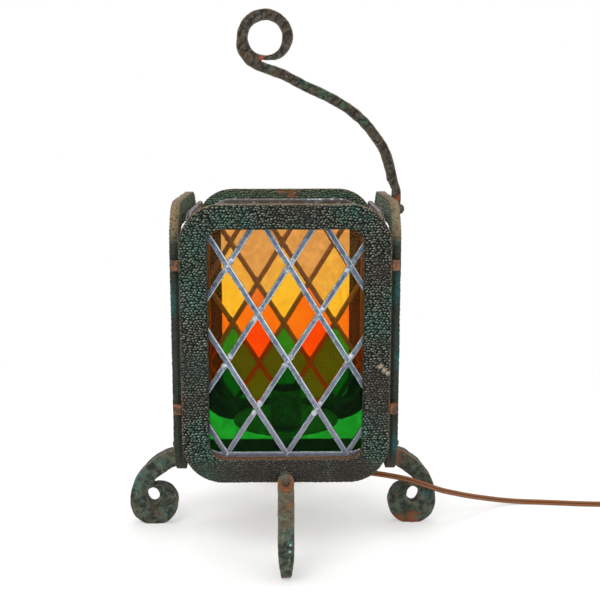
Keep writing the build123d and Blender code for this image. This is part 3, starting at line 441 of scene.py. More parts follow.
# where each change on a frame is at none and at full, in metres up, outward or from its outline
frameZones = {"worked": (0.105, 0.128), "inside": (0.1036, 0.1028), "top": (0.318, 0.335),
              "gapDirtAndShade": (0.1064, 0.1046), "gapDirtAndShadeHeight": (0.33, 0.31), "shadow": (0.0024, 0.0008),
              "shadowHeight": (0.12, 0.135), "rim": (-0.0022, -0.0008), "low": (0.116, 0.1),
              "ledge": (0.0012, 0.0002), "ledgeHeight": (0.125, 0.112)}
ironLooks = {
    "frame": dict(
        seed=1.0, patchSize=0.05, rustSize=0.02, speckSize=0.0015, tealFrom=0.5, rustFrom=0.58,
        rustShare=0.6, dark=(29, 34, 30), base=(93, 98, 86), teal=(66, 110, 94), rust=(92, 70, 52),
        # the near-black colour paints dark grain and also painted shade
        edge=(124, 118, 100), grainAndShade=(4, 5, 4), pitShadeShare=1.0, pebbleHighlight=(188, 188, 168), tealPebbleHighlight=(144, 184, 164),
        # inner is the colour of the painted light on the frames' inner faces
        rim=(112, 80, 66), low=(48, 40, 38), inner=(104, 126, 100), ledge=(124, 86, 64), side=(48, 52, 46),
        tealSide=(34, 80, 80), topSide=(126, 104, 76), pebbleHighlightShare=0.8, edgeWearAndHighlight=0.3, hollow=0.8, gloss=0.5,
        metal=0.1, shine=0.12, bumpDepth=0.0011, orange=(140, 88, 62), pale=(188, 176, 150),
        orangeSpots=[(0.008, 0.1018, 0.3545, 0.008), (-0.004, 0.1018, 0.3585, 0.006),
            (0.1108, 0.0, 0.337, 0.008)],
        dullSpots=[(0.0913, -0.1108, 0.1853, 0.026), (0.0898, -0.1108, 0.1551, 0.026),
            (-0.0895, -0.1108, 0.1959, 0.03), (-0.092, -0.1108, 0.166, 0.026),
            (0.0187, -0.1108, 0.1014, 0.034), (-0.0236, -0.1108, 0.0995, 0.03),
            (0.0581, -0.1108, 0.1022, 0.026), (0.0138, -0.1108, 0.3522, 0.022),
            (0.0927, -0.1108, 0.2931, 0.02)],
        paleSpots=[(0.0915, -0.1108, 0.2035, 0.0034), (0.0952, -0.1108, 0.2, 0.0032),
            (0.0985, -0.1108, 0.197, 0.003)],
        greenSpots=[(0.0886, -0.1108, 0.2446, 0.026), (0.0883, -0.1108, 0.1195, 0.024),
            (-0.0793, -0.1108, 0.1121, 0.026), (-0.0889, -0.1108, 0.2791, 0.03),
            (0.086, -0.1108, 0.15, 0.025), (-0.083, -0.1108, 0.322, 0.03), (-0.06, -0.1108, 0.345, 0.02),
            (-0.088, -0.1108, 0.27, 0.03), (-0.088, -0.1108, 0.2, 0.03), (-0.07, 0.1018, 0.345, 0.035),
            (0.055, 0.1018, 0.352, 0.04)]),
    "foot": dict(
        seed=11.0, creaseSize=0.016, creaseShare=0.25, foldHighlight=(120, 136, 118), foldHighlightShare=0.2, patchSize=0.02,
        rustSize=0.011, speckSize=0.006, tealFrom=0.58, rustFrom=0.54, rustShare=0.65, dark=(38, 46, 39),
        base=(88, 96, 82), teal=(58, 108, 102), rust=(98, 72, 52), edge=(156, 116, 92), grainAndShade=(14, 13, 11),
        edgeWearAndHighlight=0.75, hollow=0.35,
        rustSpots=[(0.0, -0.129, 0.083, 0.018), (0.0, -0.14, 0.071, 0.016), (0.0, -0.147, 0.06, 0.012),
            (-0.121, -0.006, 0.093, 0.018), (-0.136, -0.006, 0.083, 0.012), (0.124, -0.006, 0.09, 0.016)],
        gloss=0.45, metal=0.1, shine=0.15, bumpDepth=0.0016, orange=(134, 80, 52), pale=(160, 206, 204),
        orangeSpots=[(0.1165, -0.006, 0.083, 0.012), (0.1165, -0.006, 0.072, 0.01),
            (0.125, -0.006, 0.003, 0.01), (0.14, -0.006, 0.005, 0.01), (0.0, -0.121, 0.088, 0.0115),
            (0.0, -0.121, 0.074, 0.009), (0.004, -0.134, 0.071, 0.0055), (-0.006, -0.138, 0.064, 0.004),
            (-0.146, -0.006, -0.002, 0.005), (0.0, -0.15, 0.003, 0.005)],
        paleSpots=[(0.0045, -0.155, 0.054, 0.0016), (0.0048, -0.156, 0.047, 0.0018),
            (0.0042, -0.156, 0.041, 0.0016), (0.0038, -0.156, 0.034, 0.0015),
            (0.0028, -0.156, 0.026, 0.0013), (-0.0082, -0.151, 0.06, 0.0016),
            (-0.0078, -0.154, 0.051, 0.0015), (-0.143, -0.0075, 0.014, 0.0016),
            (-0.132, -0.0075, 0.011, 0.0018)],
        greenSpots=[(-0.1625, -0.0075, 0.051, 0.011), (-0.165, -0.0075, 0.043, 0.01),
            (-0.1575, -0.0075, 0.058, 0.01), (-0.133, -0.0075, 0.012, 0.008),
            (0.155, -0.0075, 0.034, 0.008)]),
    "handle": dict(
        seed=21.0, creaseSize=0.014, creaseShare=0.75, foldHighlight=(120, 114, 100), foldHighlightShare=0.4, patchSize=0.014,
        rustSize=0.012, speckSize=0.005, tealFrom=0.6, rustFrom=0.52, rustShare=0.6, bandGap=0.0125,
        dark=(34, 33, 29), base=(84, 78, 67), teal=(60, 94, 72), rust=(88, 64, 48), edge=(142, 128, 108),
        grainAndShade=(9, 9, 8), edgeWearAndHighlight=0.65, hollow=0.45,
        rustSpots=[(-0.0535, -0.0052, 0.52, 0.012), (-0.05, -0.0052, 0.537, 0.01),
            (-0.036, -0.0052, 0.545, 0.008)],
        gloss=0.45, metal=0.1, shine=0.15, bumpDepth=0.0018, orange=(160, 70, 54),
        orangeSpots=[(-0.0237, -0.0052, 0.5002, 0.0038), (0.1175, -0.0056, 0.357, 0.006)],
        greenSpots=[(-0.0135, -0.0052, 0.4935, 0.008), (0.021, -0.0052, 0.478, 0.012),
            (0.041, -0.0052, 0.466, 0.011), (0.06, -0.0052, 0.4535, 0.009),
            (0.081, -0.0052, 0.4365, 0.008)]),
    "rust": dict(
        seed=31.0, creaseSize=0.006, creaseShare=0.6, foldHighlight=(112, 92, 70), foldHighlightShare=0.4, patchSize=0.005,
        rustSize=0.005, speckSize=0.0016, tealFrom=0.6, rustFrom=0.45, rustShare=0.85, dark=(44, 34, 27),
        base=(96, 72, 54), teal=(76, 88, 74), rust=(142, 90, 60), edge=(150, 112, 86), grainAndShade=(18, 14, 12),
        edgeWearAndHighlight=0.5, hollow=0.6, gloss=0.5, metal=0.1, shine=0.25, bumpDepth=0.0006),
    "bronze": dict(
        seed=35.0, creaseSize=0.006, creaseShare=0.6, foldHighlight=(120, 108, 86), foldHighlightShare=0.4, patchSize=0.004,
        rustSize=0.004, speckSize=0.0014, tealFrom=0.52, rustFrom=0.55, rustShare=0.6, hollow=0.6,
        dark=(34, 30, 25), base=(92, 82, 64), teal=(84, 98, 80), rust=(104, 74, 52), edge=(160, 146, 120),
        grainAndShade=(20, 16, 14), edgeWearAndHighlight=0.6, gloss=0.35, metal=0.4, shine=0.3, bumpDepth=0.0004),
}
irons = {name: ironMaterial(name + "Iron", look, name == "frame") for name, look in ironLooks.items()}


def leadMaterial(name, look):
    # dull lead: "across" runs from -1 to 1 over a came's width, with a painted highlight along both edges and dark
    # outer rims; browner on the inner side near the top
    material, tree, shader, place = newMaterial(name)
    cloudy = noise(tree, place, 0.007, 4.0, 0.6, 5.0)
    fine = noise(tree, place, 0.0014, 4.0, 0.65, 6.0)
    up, out = sidePlace(tree, place)[1:]
    across = addNode(tree, "ShaderNodeAttribute", attribute_name="across").outputs["Fac"]
    shade = blend(tree, step(tree, cloudy, 0.38, 0.62), colour(*look["dull"]), colour(*look["bright"]))
    inside = step(tree, out, *leadZones["inside"])
    coats = [
        ("speck", step(tree, fine, 0.52, 0.62)),
        # painted highlights along both edges of each strip
        ("edge", times(tree, step(tree, across, 0.54, 0.68), step(tree, fine, 0.36, 0.5))),
        ("edge", times(tree, step(tree, across, -0.6, -0.74), step(tree, fine, 0.46, 0.56))),
        ("rim", step(tree, sums(tree, "ABSOLUTE", across), 0.9, 0.97)),
        ("low", times(tree, step(tree, up, *leadZones["low"]), 0.5)),
        ("grime", times(tree, step(tree, up, *leadZones["grime"]), step(tree, cloudy, 0.7, 0.5), 0.9)),
        # browner on the inner side near the top
        ("innerTopTint", times(tree, inside, step(tree, up, *leadZones["innerTopTint"]), 0.9)),
    ]
    for key, share in coats:
        shade = coat(tree, shade, share, look[key])
    surfaced(tree, shader, shade, 0.5, 0.15)
    bumped(tree, shader, sums(tree, "ADD", fine, cloudy), 0.0005)
    return material


glassLook = {"streakSize": 0.009, "bend": 1.12, "rippleSize": 0.02, "rippleDepth": 0.0002}


def glassMaterial(name, tint, streak, haze, seed):
    # rolled sheet glass: faint streaks in the colour, a slow ripple and a little haze
    material, tree, shader, place = newMaterial(name)
    cloudy = noise(tree, place, glassLook["streakSize"], 4.0, 0.6, seed, 1.0)
    surfaced(tree, shader, blend(tree, step(tree, cloudy, 0.35, 0.7), tint, streak), 0.0)
    shader.inputs["Transmission Weight"].default_value = 1.0 - haze
    shader.inputs["IOR"].default_value = glassLook["bend"]
    ripple = noise(tree, place, glassLook["rippleSize"], 1.0, 0.5, seed + 2)
    bumped(tree, shader, ripple, glassLook["rippleDepth"])
    return material


def plainMaterial(name, main, other, size, gloss, metal=0.0, depth=0.0002, shine=0.4):
    # two close colours in a fine grain, for small turned, moulded and pressed parts
    material, tree, shader, place = newMaterial(name)
    grain = noise(tree, place, size, 4.0, 0.6, 9.0)
    shade = blend(tree, step(tree, grain, 0.35, 0.7), colour(*main), colour(*other))
    surfaced(tree, shader, shade, glossRange(tree, grain, gloss, 0.2), metal, shine)
    bumped(tree, shader, grain, depth)
    return material


# heights and depths in metres, from none to full
leadZones = {"low": (0.2, 0.15), "grime": (0.3425, 0.346), "inside": (0.0945, 0.0935), "innerTopTint": (0.3445, 0.342)}
# edge is the colour of the painted highlight along each strip's edges
lead = leadMaterial("dullLead", dict(
    dull=(78, 92, 108), bright=(118, 132, 150), speck=(50, 57, 72), edge=(216, 224, 232),
    rim=(30, 28, 28), low=(128, 122, 134), grime=(76, 68, 64), innerTopTint=(122, 76, 40)))
solder = leadMaterial("brightSolder", dict(
    dull=(122, 132, 146), bright=(202, 208, 216), speck=(84, 92, 106), edge=(240, 243, 246),
    rim=(150, 150, 156), low=(196, 192, 200), grime=(104, 96, 92), innerTopTint=(60, 50, 42)))
# the two colours between which each glass varies, and its haze
glassTints = {
    "tan": ((0.78, 0.5, 0.22, 1), (0.94, 0.64, 0.31, 1), 0.025),
    "yellow": ((0.97, 0.63, 0.11, 1), (1.0, 0.78, 0.19, 1), 0.01),
    "red": ((0.98, 0.2, 0.001, 1), (1.0, 0.29, 0.002, 1), 0.03),
    "green": ((0.005, 0.205, 0.009, 1), (0.011, 0.31, 0.018, 1), 0.01),
}
glasses = {name: glassMaterial(name + "Glass", *tints, index * 13.0)
           for index, (name, tints) in enumerate(glassTints.items())}
agedBrass = plainMaterial("agedBrass", (206, 178, 130), (156, 128, 88), 0.004, 0.5, 0.3, shine=0.2)
brightBrass = plainMaterial("brightBrass", (190, 150, 80), (150, 110, 56), 0.002, 0.25, 1.0, 0.00005)
blackResin = plainMaterial("blackResin", (26, 22, 19), (38, 32, 28), 0.003, 0.35, shine=0.3)
cardLiner = plainMaterial("cardLiner", (86, 62, 40), (66, 46, 30), 0.002, 0.8)
brownRubber = plainMaterial("brownRubber", (78, 42, 22), (94, 54, 30), 0.003, 0.4)
bareSteel = plainMaterial("bareSteel", (104, 98, 90), (78, 66, 54), 0.004, 0.4, 0.7)


def cordMaterial():
    # brown plastic flex, with painted shade in the groove between its two cores and along its outer edges
    material, tree, shader, place = newMaterial("brownCord")
    across = sums(tree, "ABSOLUTE", addNode(tree, "ShaderNodeAttribute", attribute_name="across").outputs["Fac"])
    # painted shade: darkest in the groove between the cores, darker along the outer edges
    shade = blend(tree, step(tree, across, 0.05, 0.33), colour(40, 14, 2), colour(132, 78, 34))
    shade = coat(tree, shade, step(tree, across, 0.72, 0.98), (76, 44, 28))
    shade = coat(tree, shade, times(tree, noise(tree, place, 0.006, 3.0, 0.5, 3.0), 0.3), (92, 50, 20))
    surfaced(tree, shader, shade, 0.35)
    return material


brownCord = cordMaterial()
say("materials made")

# Camera, floor and light

view = {"place": (0.0, -1.051, 0.4382), "down": 10.19, "right": 0.84, "lens": 60.12}
camera = bpy.data.objects.new("camera", bpy.data.cameras.new("camera"))
bpy.context.scene.collection.objects.link(camera)
camera.location = view["place"]
camera.rotation_euler = (math.radians(90 - view["down"]), 0, math.radians(-view["right"]))
camera.data.lens = view["lens"]
camera.data.sensor_width = 36.0
bpy.context.scene.camera = camera
bpy.context.scene.view_settings.view_transform = "Standard"
studio = {"floor": 0.88, "whiteNear": 0.42, "whiteFrom": 0.35, "whiteTo": 0.9, "world": 0.85}
# where each lamp hangs, how wide it is and its power
softLamps = {"keyLamp": ((-0.8, -1.2, 1.5), 1.0, 16), "fillLamp": ((1.3, -0.9, 1.1), 1.2, 7),
             "topLamp": ((0.0, 0.2, 2.0), 1.2, 16)}


def seenRays(tree):
    path = addNode(tree, "ShaderNodeLightPath").outputs
    seen = sums(tree, "MAXIMUM", path["Is Camera Ray"], path["Is Transmission Ray"])
    return sums(tree, "MAXIMUM", seen, path["Is Glossy Ray"])


def whiteFloor():
    # a pale floor that takes the shadows and turns plain white further out
    bpy.ops.mesh.primitive_plane_add(size=14.0)
    floor = bpy.context.object
    floor.name = "floor"
    material, tree, shader, place = newMaterial("paleFloor")
    surfaced(tree, shader, (studio["floor"],) * 3 + (1,), 0.9, shine=0.0)
    white = addNode(tree, "ShaderNodeEmission", {"Color": (1, 1, 1, 1), "Strength": 1.0})
    far = step(tree, vectors(tree, "LENGTH", place), studio["whiteFrom"], studio["whiteTo"])
    share = times(tree, scaled(tree, far, 1 - studio["whiteNear"], studio["whiteNear"]), seenRays(tree))
    mixed = addNode(tree, "ShaderNodeMixShader", {0: share, 1: shader.outputs[0], 2: white.outputs[0]})
    tree.links.new(mixed.outputs[0], tree.nodes["Material Output"].inputs["Surface"])
    floor.data.materials.append(material)


def whiteWorld():
    world = bpy.data.worlds.new("studio")
    bpy.context.scene.world = world
    world.use_nodes = True
    tree = world.node_tree
    soft = tree.nodes["Background"]
    soft.inputs["Color"].default_value = (1, 1, 1, 1)
    soft.inputs["Strength"].default_value = studio["world"]
    white = addNode(tree, "ShaderNodeBackground", {"Color": (1, 1, 1, 1), "Strength": 1.0})
    mixed = addNode(tree, "ShaderNodeMixShader", {0: seenRays(tree), 1: soft.outputs[0], 2: white.outputs[0]})
    tree.links.new(mixed.outputs[0], tree.nodes["World Output"].inputs["Surface"])


def softLamp(name, place, size, power):
    light = bpy.data.lights.new(name, "AREA")
    light.size = size
    light.energy = power
    lamp = newPiece(name, light)
    lamp.location = place
    lamp.rotation_euler = (Vector((0, 0, 0.2)) - Vector(place)).to_track_quat("-Z", "Y").to_euler()


whiteFloor()
whiteWorld()
for name, values in softLamps.items():
    softLamp(name, *values)
say("camera and light set")

# The cord: a flat two-core lead along its route, on a NURBS spline

cordPlan = {"length": 1.86, "width": 0.006, "thick": 0.0034, "groove": 0.45, "tilt": -68.0, "rim": 24}
cordRoute = [
    (0.0377, -0.0046, 0.065), (0.0496, -0.0061, 0.065), (0.065, -0.0081, 0.0636), (0.088, -0.0114, 0.0604),
    (0.108, -0.0149, 0.0588), (0.13, -0.0172, 0.0552), (0.15, -0.017, 0.0486), (0.168, -0.0126, 0.0402),
    (0.186, -0.0006, 0.032), (0.2068, 0.014, 0.0226), (0.228, 0.0298, 0.0138), (0.248, 0.0426, 0.0064),
    (0.271, 0.0468, 0.0029), (0.299, 0.0444, 0.00286), (0.33, 0.0402, 0.00286), (0.3604, 0.0373, 0.00286),
]
coilPlan = {"x": 0.415, "y": -0.005, "inner": 0.021, "pitch": 0.006, "layer": 0.0064, "turnsIn": 3.75, "turnsOut": 3.5,
            "low": 0.00285, "steps": 16}


coilMouth = (0.3885, 0.0379, 0.00286)  # where the free cord meets it


def coilPoint(turns):
    climb = min(max(2 * turns + 0.5, 0), 1)
    radius = coilPlan["inner"] + coilPlan["pitch"] * abs(turns)
    angle = math.pi / 2 - math.tau * (turns + coilPlan["turnsIn"])
    height = coilPlan["low"] + coilPlan["layer"] * climb * climb * (3 - 2 * climb)
    return (coilPlan["x"] + radius * math.cos(angle), coilPlan["y"] + radius * math.sin(angle), height)


def cordSpline():
    turns = coilPlan["turnsIn"] + coilPlan["turnsOut"]
    steps = round(turns * coilPlan["steps"])
    coil = [coilPoint(turns * count / steps - coilPlan["turnsIn"]) for count in range(steps + 1)]
    lastX, lastY, lastZ = coil[-1]
    points = cordRoute + [coilMouth] + coil + [(lastX, lastY - 0.004, lastZ), (lastX, lastY - 0.008, lastZ)]
    curve = bpy.data.curves.new("cordRoute", "CURVE")
    curve.dimensions = "3D"
    spline = curve.splines.new("NURBS")
    spline.points.add(len(points) - 1)
    for point, place in zip(spline.points, points):
        point.co = (*place, 1)
    spline.order_u = 3
    spline.use_endpoint_u = True
    spline.resolution_u = 6
    return newPiece("cordRoute", curve)


def cordLine(piece):
    # the points that Blender gives for the bare spline
    bpy.context.view_layer.update()
    mesh = bpy.data.meshes.new_from_object(piece.evaluated_get(bpy.context.evaluated_depsgraph_get()))
    line = [vertex.co.copy() for vertex in mesh.vertices]
    bpy.data.meshes.remove(mesh)
    bpy.data.objects.remove(piece)
    return line


def flatLead(name, line, plan):
    # two round cores side by side, swept along the line with the broad side tilted
    tool = bmesh.new()
    across = tool.verts.layers.float.new("across")
    rims = []
    lean = math.radians(plan["tilt"])
    core = plan["thick"] / 2
    shift = plan["width"] / 2 - core
    for index, place in enumerate(line):
        ahead = (line[min(index + 1, len(line) - 1)] - line[max(index - 1, 0)]).normalized()
        side = ahead.cross(Vector((0, 0, 1))).normalized()
        over = side.cross(ahead).normalized()
        broad = side * math.cos(lean) + over * math.sin(lean)
        thin = over * math.cos(lean) - side * math.sin(lean)
        rim = []
        for corner in range(plan["rim"]):
            turn = math.tau * (corner + 0.5) / plan["rim"]
            x = math.cos(turn) * (core + shift)
            if abs(x) > shift:
                y = math.sqrt(max(core * core - (abs(x) - shift) ** 2, 0))
            else:
                y = core - core * (1 - plan["groove"]) * (1 - abs(x) / shift) ** 2
            vertex = tool.verts.new(place + broad * x + thin * (y if math.sin(turn) > 0 else -y))
            vertex[across] = x / (core + shift)
            rim.append(vertex)
        if rims:
            for corner in range(plan["rim"]):
                after = (corner + 1) % plan["rim"]
                tool.faces.new((rims[-1][corner], rims[-1][after], rim[after], rim[corner]))
        rims.append(rim)
    tool.faces.new(reversed(rims[0]))
    tool.faces.new(rims[-1])
    bmesh.ops.recalc_face_normals(tool, faces=tool.faces)
    mesh = bpy.data.meshes.new(name)
    tool.to_mesh(mesh)
    tool.free()
    mesh.polygons.foreach_set("use_smooth", [True] * len(mesh.polygons))
    mesh.materials.append(brownCord)
    return newPiece(name, mesh)


line = cordLine(cordSpline())
flex = flatLead("flatFlex", line, cordPlan)
finish(flex, "lamp", "brown_cord", "cord_lead", "cord_coil")
say("cord laid")

# The four frames, hammered all over, then the feet, the handle and the rusty fastenings

forging = {name: forgingTree(name + "Forging", iron, name == "frame") for name, iron in irons.items()}


def forgedPiece(name, node, body, slot, iron, look, seed):
    piece = voxelled(cadCopy(node, name), look["grain"])
    sizes = {key: look[key] for key in ("dentSize", "dentDepth", "lumpSize", "lumpDepth")}
    runTree(piece, forging[iron], seed=seed, **sizes)
    return finish(settle(piece), body, slot, node)


frameLook = {"grain": 0.00085, "dentSize": 0.02, "dentDepth": 0.001, "lumpSize": 0.0043, "lumpDepth": 0.00055}
for index, side in enumerate(sides):
    forgedPiece(side + "HammeredFrame", side + "_frame", "lamp", "frame_iron", "frame", frameLook, float(index))
say("frames hammered")
footLook = {"grain": 0.0008, "dentSize": 0.011, "dentDepth": 0.0022, "lumpSize": 0.004, "lumpDepth": 0.0004}
for index, side in enumerate(sides):
    forgedPiece(side + "ForgedFoot", side + "_foot", "lamp", "foot_iron", "foot", footLook, 5.0 + index)
handleLook = {"grain": 0.0008, "dentSize": 0.011, "dentDepth": 0.0024, "lumpSize": 0.005, "lumpDepth": 0.0002}
forgedPiece("forgedHandle", "handle", "handle", "handle_iron", "handle", handleLook, 10.0)
smallLook = {"grain": 0.0005, "dentSize": 0.005, "dentDepth": 0.0009, "lumpSize": 0.002, "lumpDepth": 0.0003}
forgedPiece("rustyLugs", "corner_lugs", "lamp", "rusty_iron", "rust", smallLook, 12.0)
forgedPiece("footRivets", "foot_rivets", "lamp", "rusty_iron", "bronze", smallLook, 13.0)
forgedPiece("pivotBolt", "pivot_bolt", "lamp", "rusty_iron", "bronze", smallLook, 14.0)
say("feet, handle and joints forged")

# Lead cames: a net of soft lead strips with a solder blob at each joint

camePlan = {"columns": 3, "rows": 5, "width": 0.1844, "bottom": 0.1078, "top": 0.35, "corner": 0.03, "came": 0.006,
            "shift": 0.0006, "lean": 0.0037, "depth": 0.09445, "half": 0.0028, "thick": 0.0022, "wobble": 0.00025,
            "over": 0.0004, "borderPoints": 240, "beside": 0.0056, "highestEnd": 0.115, "farthestCrossing": 0.113}


def outlinePoint(turn, plan, inset):
    # where a ray from the panel's middle meets its rounded outline
    halfWidth, halfHeight = plan["width"] / 2 - inset, (plan["top"] - plan["bottom"]) / 2 - inset
    corner = plan["corner"] - inset
    x, z = math.cos(turn), math.sin(turn)
    near, far = 0.0, 0.3
    for halving in range(40):
        middle = (near + far) / 2
        lean, rise = abs(x * middle) - halfWidth + corner, abs(z * middle) - halfHeight + corner
        gap = math.hypot(max(lean, 0), max(rise, 0)) + min(max(lean, rise), 0) - corner
        near, far = (middle, far) if gap < 0 else (near, middle)
    return x * near, z * near


def latticeLines(plan):
    # the diagonals' ends on the border, and where they cross, as (along, up from the middle)
    pitch = (plan["width"] - plan["came"]) / plan["columns"]
    rise = (plan["top"] - plan["bottom"] - plan["came"]) / 2
    count = plan["borderPoints"]
    border = [outlinePoint(math.tau * (index + 0.5) / count, plan, plan["half"]) for index in range(count)]
    lines = []
    for way in (1, -1):
        run = way * plan["rows"] * pitch / 2 + plan["lean"]
        for index in range(2 * plan["columns"] - 1):
            middle = way * (index - plan["columns"] + plan["rows"] / 4) * pitch + plan["shift"] + plan["lean"] / 2
            low, high = (middle - run / 2, -rise), (middle + run / 2, rise)
            cuts = sorted(crossings(low, high, border))
            if len(cuts) > 1:
                lines.append((way, [between(low, high, cut) for cut in (cuts[0], cuts[-1])]))
    joints = []
    for way, ends in lines:
        for otherWay, others in lines:
            if way > otherWay:
                for cut in crossings(*ends, others, False):
                    joints += besideCrossing(ends, cut, plan)
        joints += [(x, z, 0.75) for x, z in ends if z < plan["highestEnd"]]
    return border, lines, joints


def between(start, stop, share):
    return tuple(a + (b - a) * share for a, b in zip(start, stop))


def besideCrossing(ends, cut, plan):
    # where a strip is soldered to the one that runs over it: on both sides, and thinly on top
    gap = plan["beside"] / math.dist(*ends)
    places = [(*between(*ends, here), share) for here, share in ((cut - gap, 1.0), (cut, 0.85), (cut + gap, 1.0))]
    return [place for place in places if abs(place[1]) < plan["farthestCrossing"]]


def crossings(start, stop, points, closed=True):
    # how far along start to stop each run of the points is crossed, 0 to 1
    found = []
    for index in range(len(points) if closed else len(points) - 1):
        a, b = points[index], points[(index + 1) % len(points)]
        dx, dz, ex, ez = stop[0] - start[0], stop[1] - start[1], b[0] - a[0], b[1] - a[1]
        cross = dx * ez - dz * ex
        if abs(cross) > 1e-12:
            here = ((a[0] - start[0]) * ez - (a[1] - start[1]) * ex) / cross
            there = ((a[0] - start[0]) * dz - (a[1] - start[1]) * dx) / cross
            if -0.2 <= here <= 1.2 and 0 <= there < 1 and (closed or 0 <= here <= 1):
                found.append(here)
    return found


def cameTree(lead):
    # sweeps a domed strip along each edge of the net and bends it a little
    tree, given, end = newTree("leadStrips", {"half": 0.0026, "thick": 0.0023, "wobble": 0.0002, "seed": 0.0})
    curve = addNode(tree, "GeometryNodeMeshToCurve", {"Mesh": given["Geometry"]}).outputs[0]
    even = addNode(tree, "GeometryNodeResampleCurve", {"Curve": curve, "Length": 0.003}, mode="LENGTH").outputs[0]
    place = addNode(tree, "GeometryNodeInputPosition").outputs[0]
    wires = {"Vector": place, "Scale": 60.0, "W": given["seed"]}
    bends = addNode(tree, "ShaderNodeTexNoise", wires, noise_dimensions="4D").outputs["Color"]
    bend = stretched(tree, vectors(tree, "SUBTRACT", bends, (0.5, 0.5, 0.5)), given["wobble"])
    bend = vectors(tree, "MULTIPLY", bend, (4.0, 4.0, 0.4))
    bent = addNode(tree, "GeometryNodeSetPosition", {"Geometry": even, "Offset": bend}).outputs[0]
    upright = addNode(tree, "GeometryNodeSetCurveNormal", {"Curve": bent}, mode="Z_UP").outputs[0]
    wires = {"Resolution": 16, "Radius": 1.0}
    ring = addNode(tree, "GeometryNodeCurvePrimitiveCircle", wires, mode="RADIUS").outputs[0]
    x, y, z = axes(tree, place)
    squareX, squareY = (
        times(tree, sums(tree, "SIGN", part), sums(tree, "POWER", sums(tree, "ABSOLUTE", part), power))
        for part, power in ((x, 0.62), (y, 0.45)))
    shaped = vectorOf(tree, times(tree, squareX, given["half"]), times(tree, squareY, given["thick"]))
    section = addNode(tree, "GeometryNodeSetPosition", {"Geometry": ring, "Position": shaped}).outputs[0]
    wires = {"Geometry": section, "Name": "across", "Value": sums(tree, "DIVIDE", x, given["half"])}
    named = addNode(tree, "GeometryNodeStoreNamedAttribute", wires, data_type="FLOAT", domain="POINT").outputs[0]
    wires = {"Curve": upright, "Profile Curve": named, "Fill Caps": True}
    swept = addNode(tree, "GeometryNodeCurveToMesh", wires).outputs[0]
    dents = sums(tree, "SUBTRACT", noise(tree, place, 0.004, 2.0, 0.5), 0.5)
    return endTree(tree, end, pushed(tree, swept, times(tree, dents, 0.0007)), lead)


solderSizes = {"long": 0.0037, "wide": 0.0031, "thick": 0.0028, "slope": 57.2}


def solderTree(solder):
    # a lump of solder on each point, longer along the rising strips
    tree, given, end = newTree("solderJoints", solderSizes)
    ball = addNode(tree, "GeometryNodeMeshUVSphere", {"Segments": 18, "Rings": 11, "Radius": 1.0}).outputs[0]
    index = addNode(tree, "GeometryNodeInputIndex").outputs[0]
    wires = {"Min": (0.8, 0.85, 0.96), "Max": (1.2, 1.2, 1.04), "ID": index}
    odd = addNode(tree, "FunctionNodeRandomValue", wires, data_type="FLOAT_VECTOR").outputs[0]
    wires = {2: -0.14, 3: 0.14, "ID": index}
    turn = addNode(tree, "FunctionNodeRandomValue", wires, data_type="FLOAT").outputs[1]
    lean = sums(tree, "ADD", sums(tree, "RADIANS", given["slope"]), turn)
    size = vectors(tree, "MULTIPLY", vectorOf(tree, given["long"], given["wide"], given["thick"]), odd)
    share = addNode(tree, "GeometryNodeInputNamedAttribute", {"Name": "share"}, data_type="FLOAT").outputs[0]
    wires = {"Points": given["Geometry"], "Instance": ball, "Rotation": vectorOf(tree, 0.0, 0.0, lean),
             "Scale": vectors(tree, "MULTIPLY", size, vectorOf(tree, share, share, 1.0))}
    spread = addNode(tree, "GeometryNodeInstanceOnPoints", wires).outputs[0]
    solid = addNode(tree, "GeometryNodeRealizeInstances", {"Geometry": spread}).outputs[0]
    place = addNode(tree, "GeometryNodeInputPosition").outputs[0]
    lumps = sums(tree, "SUBTRACT", noise(tree, place, 0.0026, 3.0, 0.6, 2.0), 0.5)
    return endTree(tree, end, pushed(tree, solid, times(tree, lumps, 0.0034)), solder)


def pointMesh(name, points, runs=(), values=None):
    mesh = bpy.data.meshes.new(name)
    mesh.from_pydata(points, runs, [])
    if values:
        mesh.attributes.new("share", "FLOAT", "POINT").data.foreach_set("value", values)
    return newPiece(name, mesh)


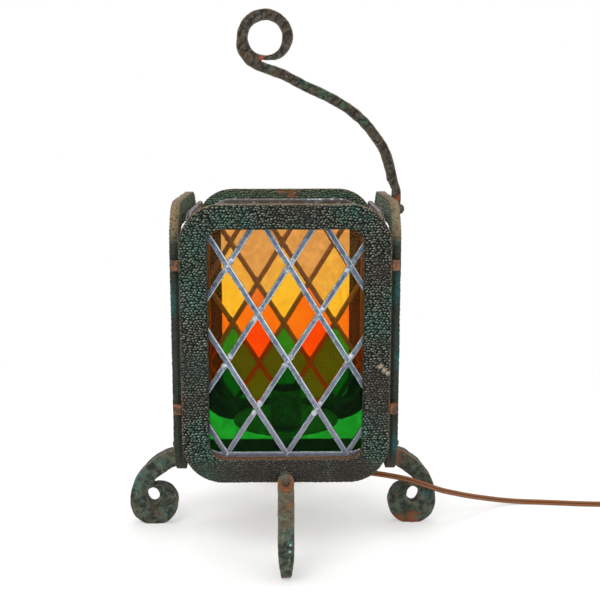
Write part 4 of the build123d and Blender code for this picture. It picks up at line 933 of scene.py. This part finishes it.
def joined(name, first, *others):
    # one piece of several plain ones, each keeping its own material
    materials = []
    tool = bmesh.new()
    for piece in (first,) + others:
        start = len(tool.faces)
        tool.from_mesh(piece.data)
        tool.faces.ensure_lookup_table()
        for face in tool.faces[start:]:
            face.material_index += len(materials)
        materials += list(piece.data.materials)
    mesh = bpy.data.meshes.new(name)
    tool.to_mesh(mesh)
    tool.free()
    for material in materials:
        mesh.materials.append(material)
    for piece in (first,) + others:
        bpy.data.objects.remove(piece)
    return newPiece(name, mesh)


border, lines, joints = latticeLines(camePlan)
netPoints = [(x, z, 0) for x, z in border]
netRuns = [(count, (count + 1) % len(border)) for count in range(len(border))]
for way, ends in lines:
    netRuns.append((len(netPoints), len(netPoints) + 1))
    netPoints += [(x, z, -camePlan["over"] * way) for x, z in ends]
jointPoints = [(x, z, 0) for x, z, share in joints]
jointShares = [share for x, z, share in joints]
outward = Matrix.Translation((0, 0, camePlan["depth"]))
upward = Matrix.Translation((0, 0, (camePlan["top"] + camePlan["bottom"]) / 2))
stripSizes = {key: camePlan[key] for key in ("half", "thick", "wobble")}
stripTree, blobTree = cameTree(lead), solderTree(solder)
for index, side in enumerate(sides):
    net = pointMesh(side + "LeadNet", netPoints, netRuns)
    settle(runTree(net, stripTree, seed=float(index), **stripSizes))
    blobs = settle(runTree(pointMesh(side + "Solder", jointPoints, (), jointShares), blobTree))
    cames = joined(side + "LeadCames", net, blobs)
    cames.data.transform(sideMatrix(side) @ outward)
    cames.data.transform(upward)
    finish(cames, "lamp", "lead_came", side + "_came")
say("cames soldered")

# Carried-over nodes: their finish

finishes = [
    (agedBrass, ["spacer_tube", "lock_nut", "pan", "socket_cap", "socket_shell"]),
    (brightBrass, ["screw_shell", "centre_contact", "terminal_screws", "switch_shaft", "plug_blades"]),
    (blackResin, ["socket_core", "switch_knob"]),
    (cardLiner, ["socket_liner"]),
    (brownRubber, ["elbow_boot", "plug_body"]),
    (brownCord, ["inner_lead"]),
    (bareSteel, ["panel_clips", "pivot_washer", "pivot_nut", "threaded_nipple"]),
    (solder, ["solder_seams"]),
    (irons["rust"], ["base_strap", "strap_rivets"]),
]
for name, glass in glasses.items():
    finishes.append((glass, [f"{side}_{name}_glass" for side in sides]))
for material, names in finishes:
    for node in names:
        nodes[node].data.materials.clear()
        nodes[node].data.materials.append(material)
say("finishes set")
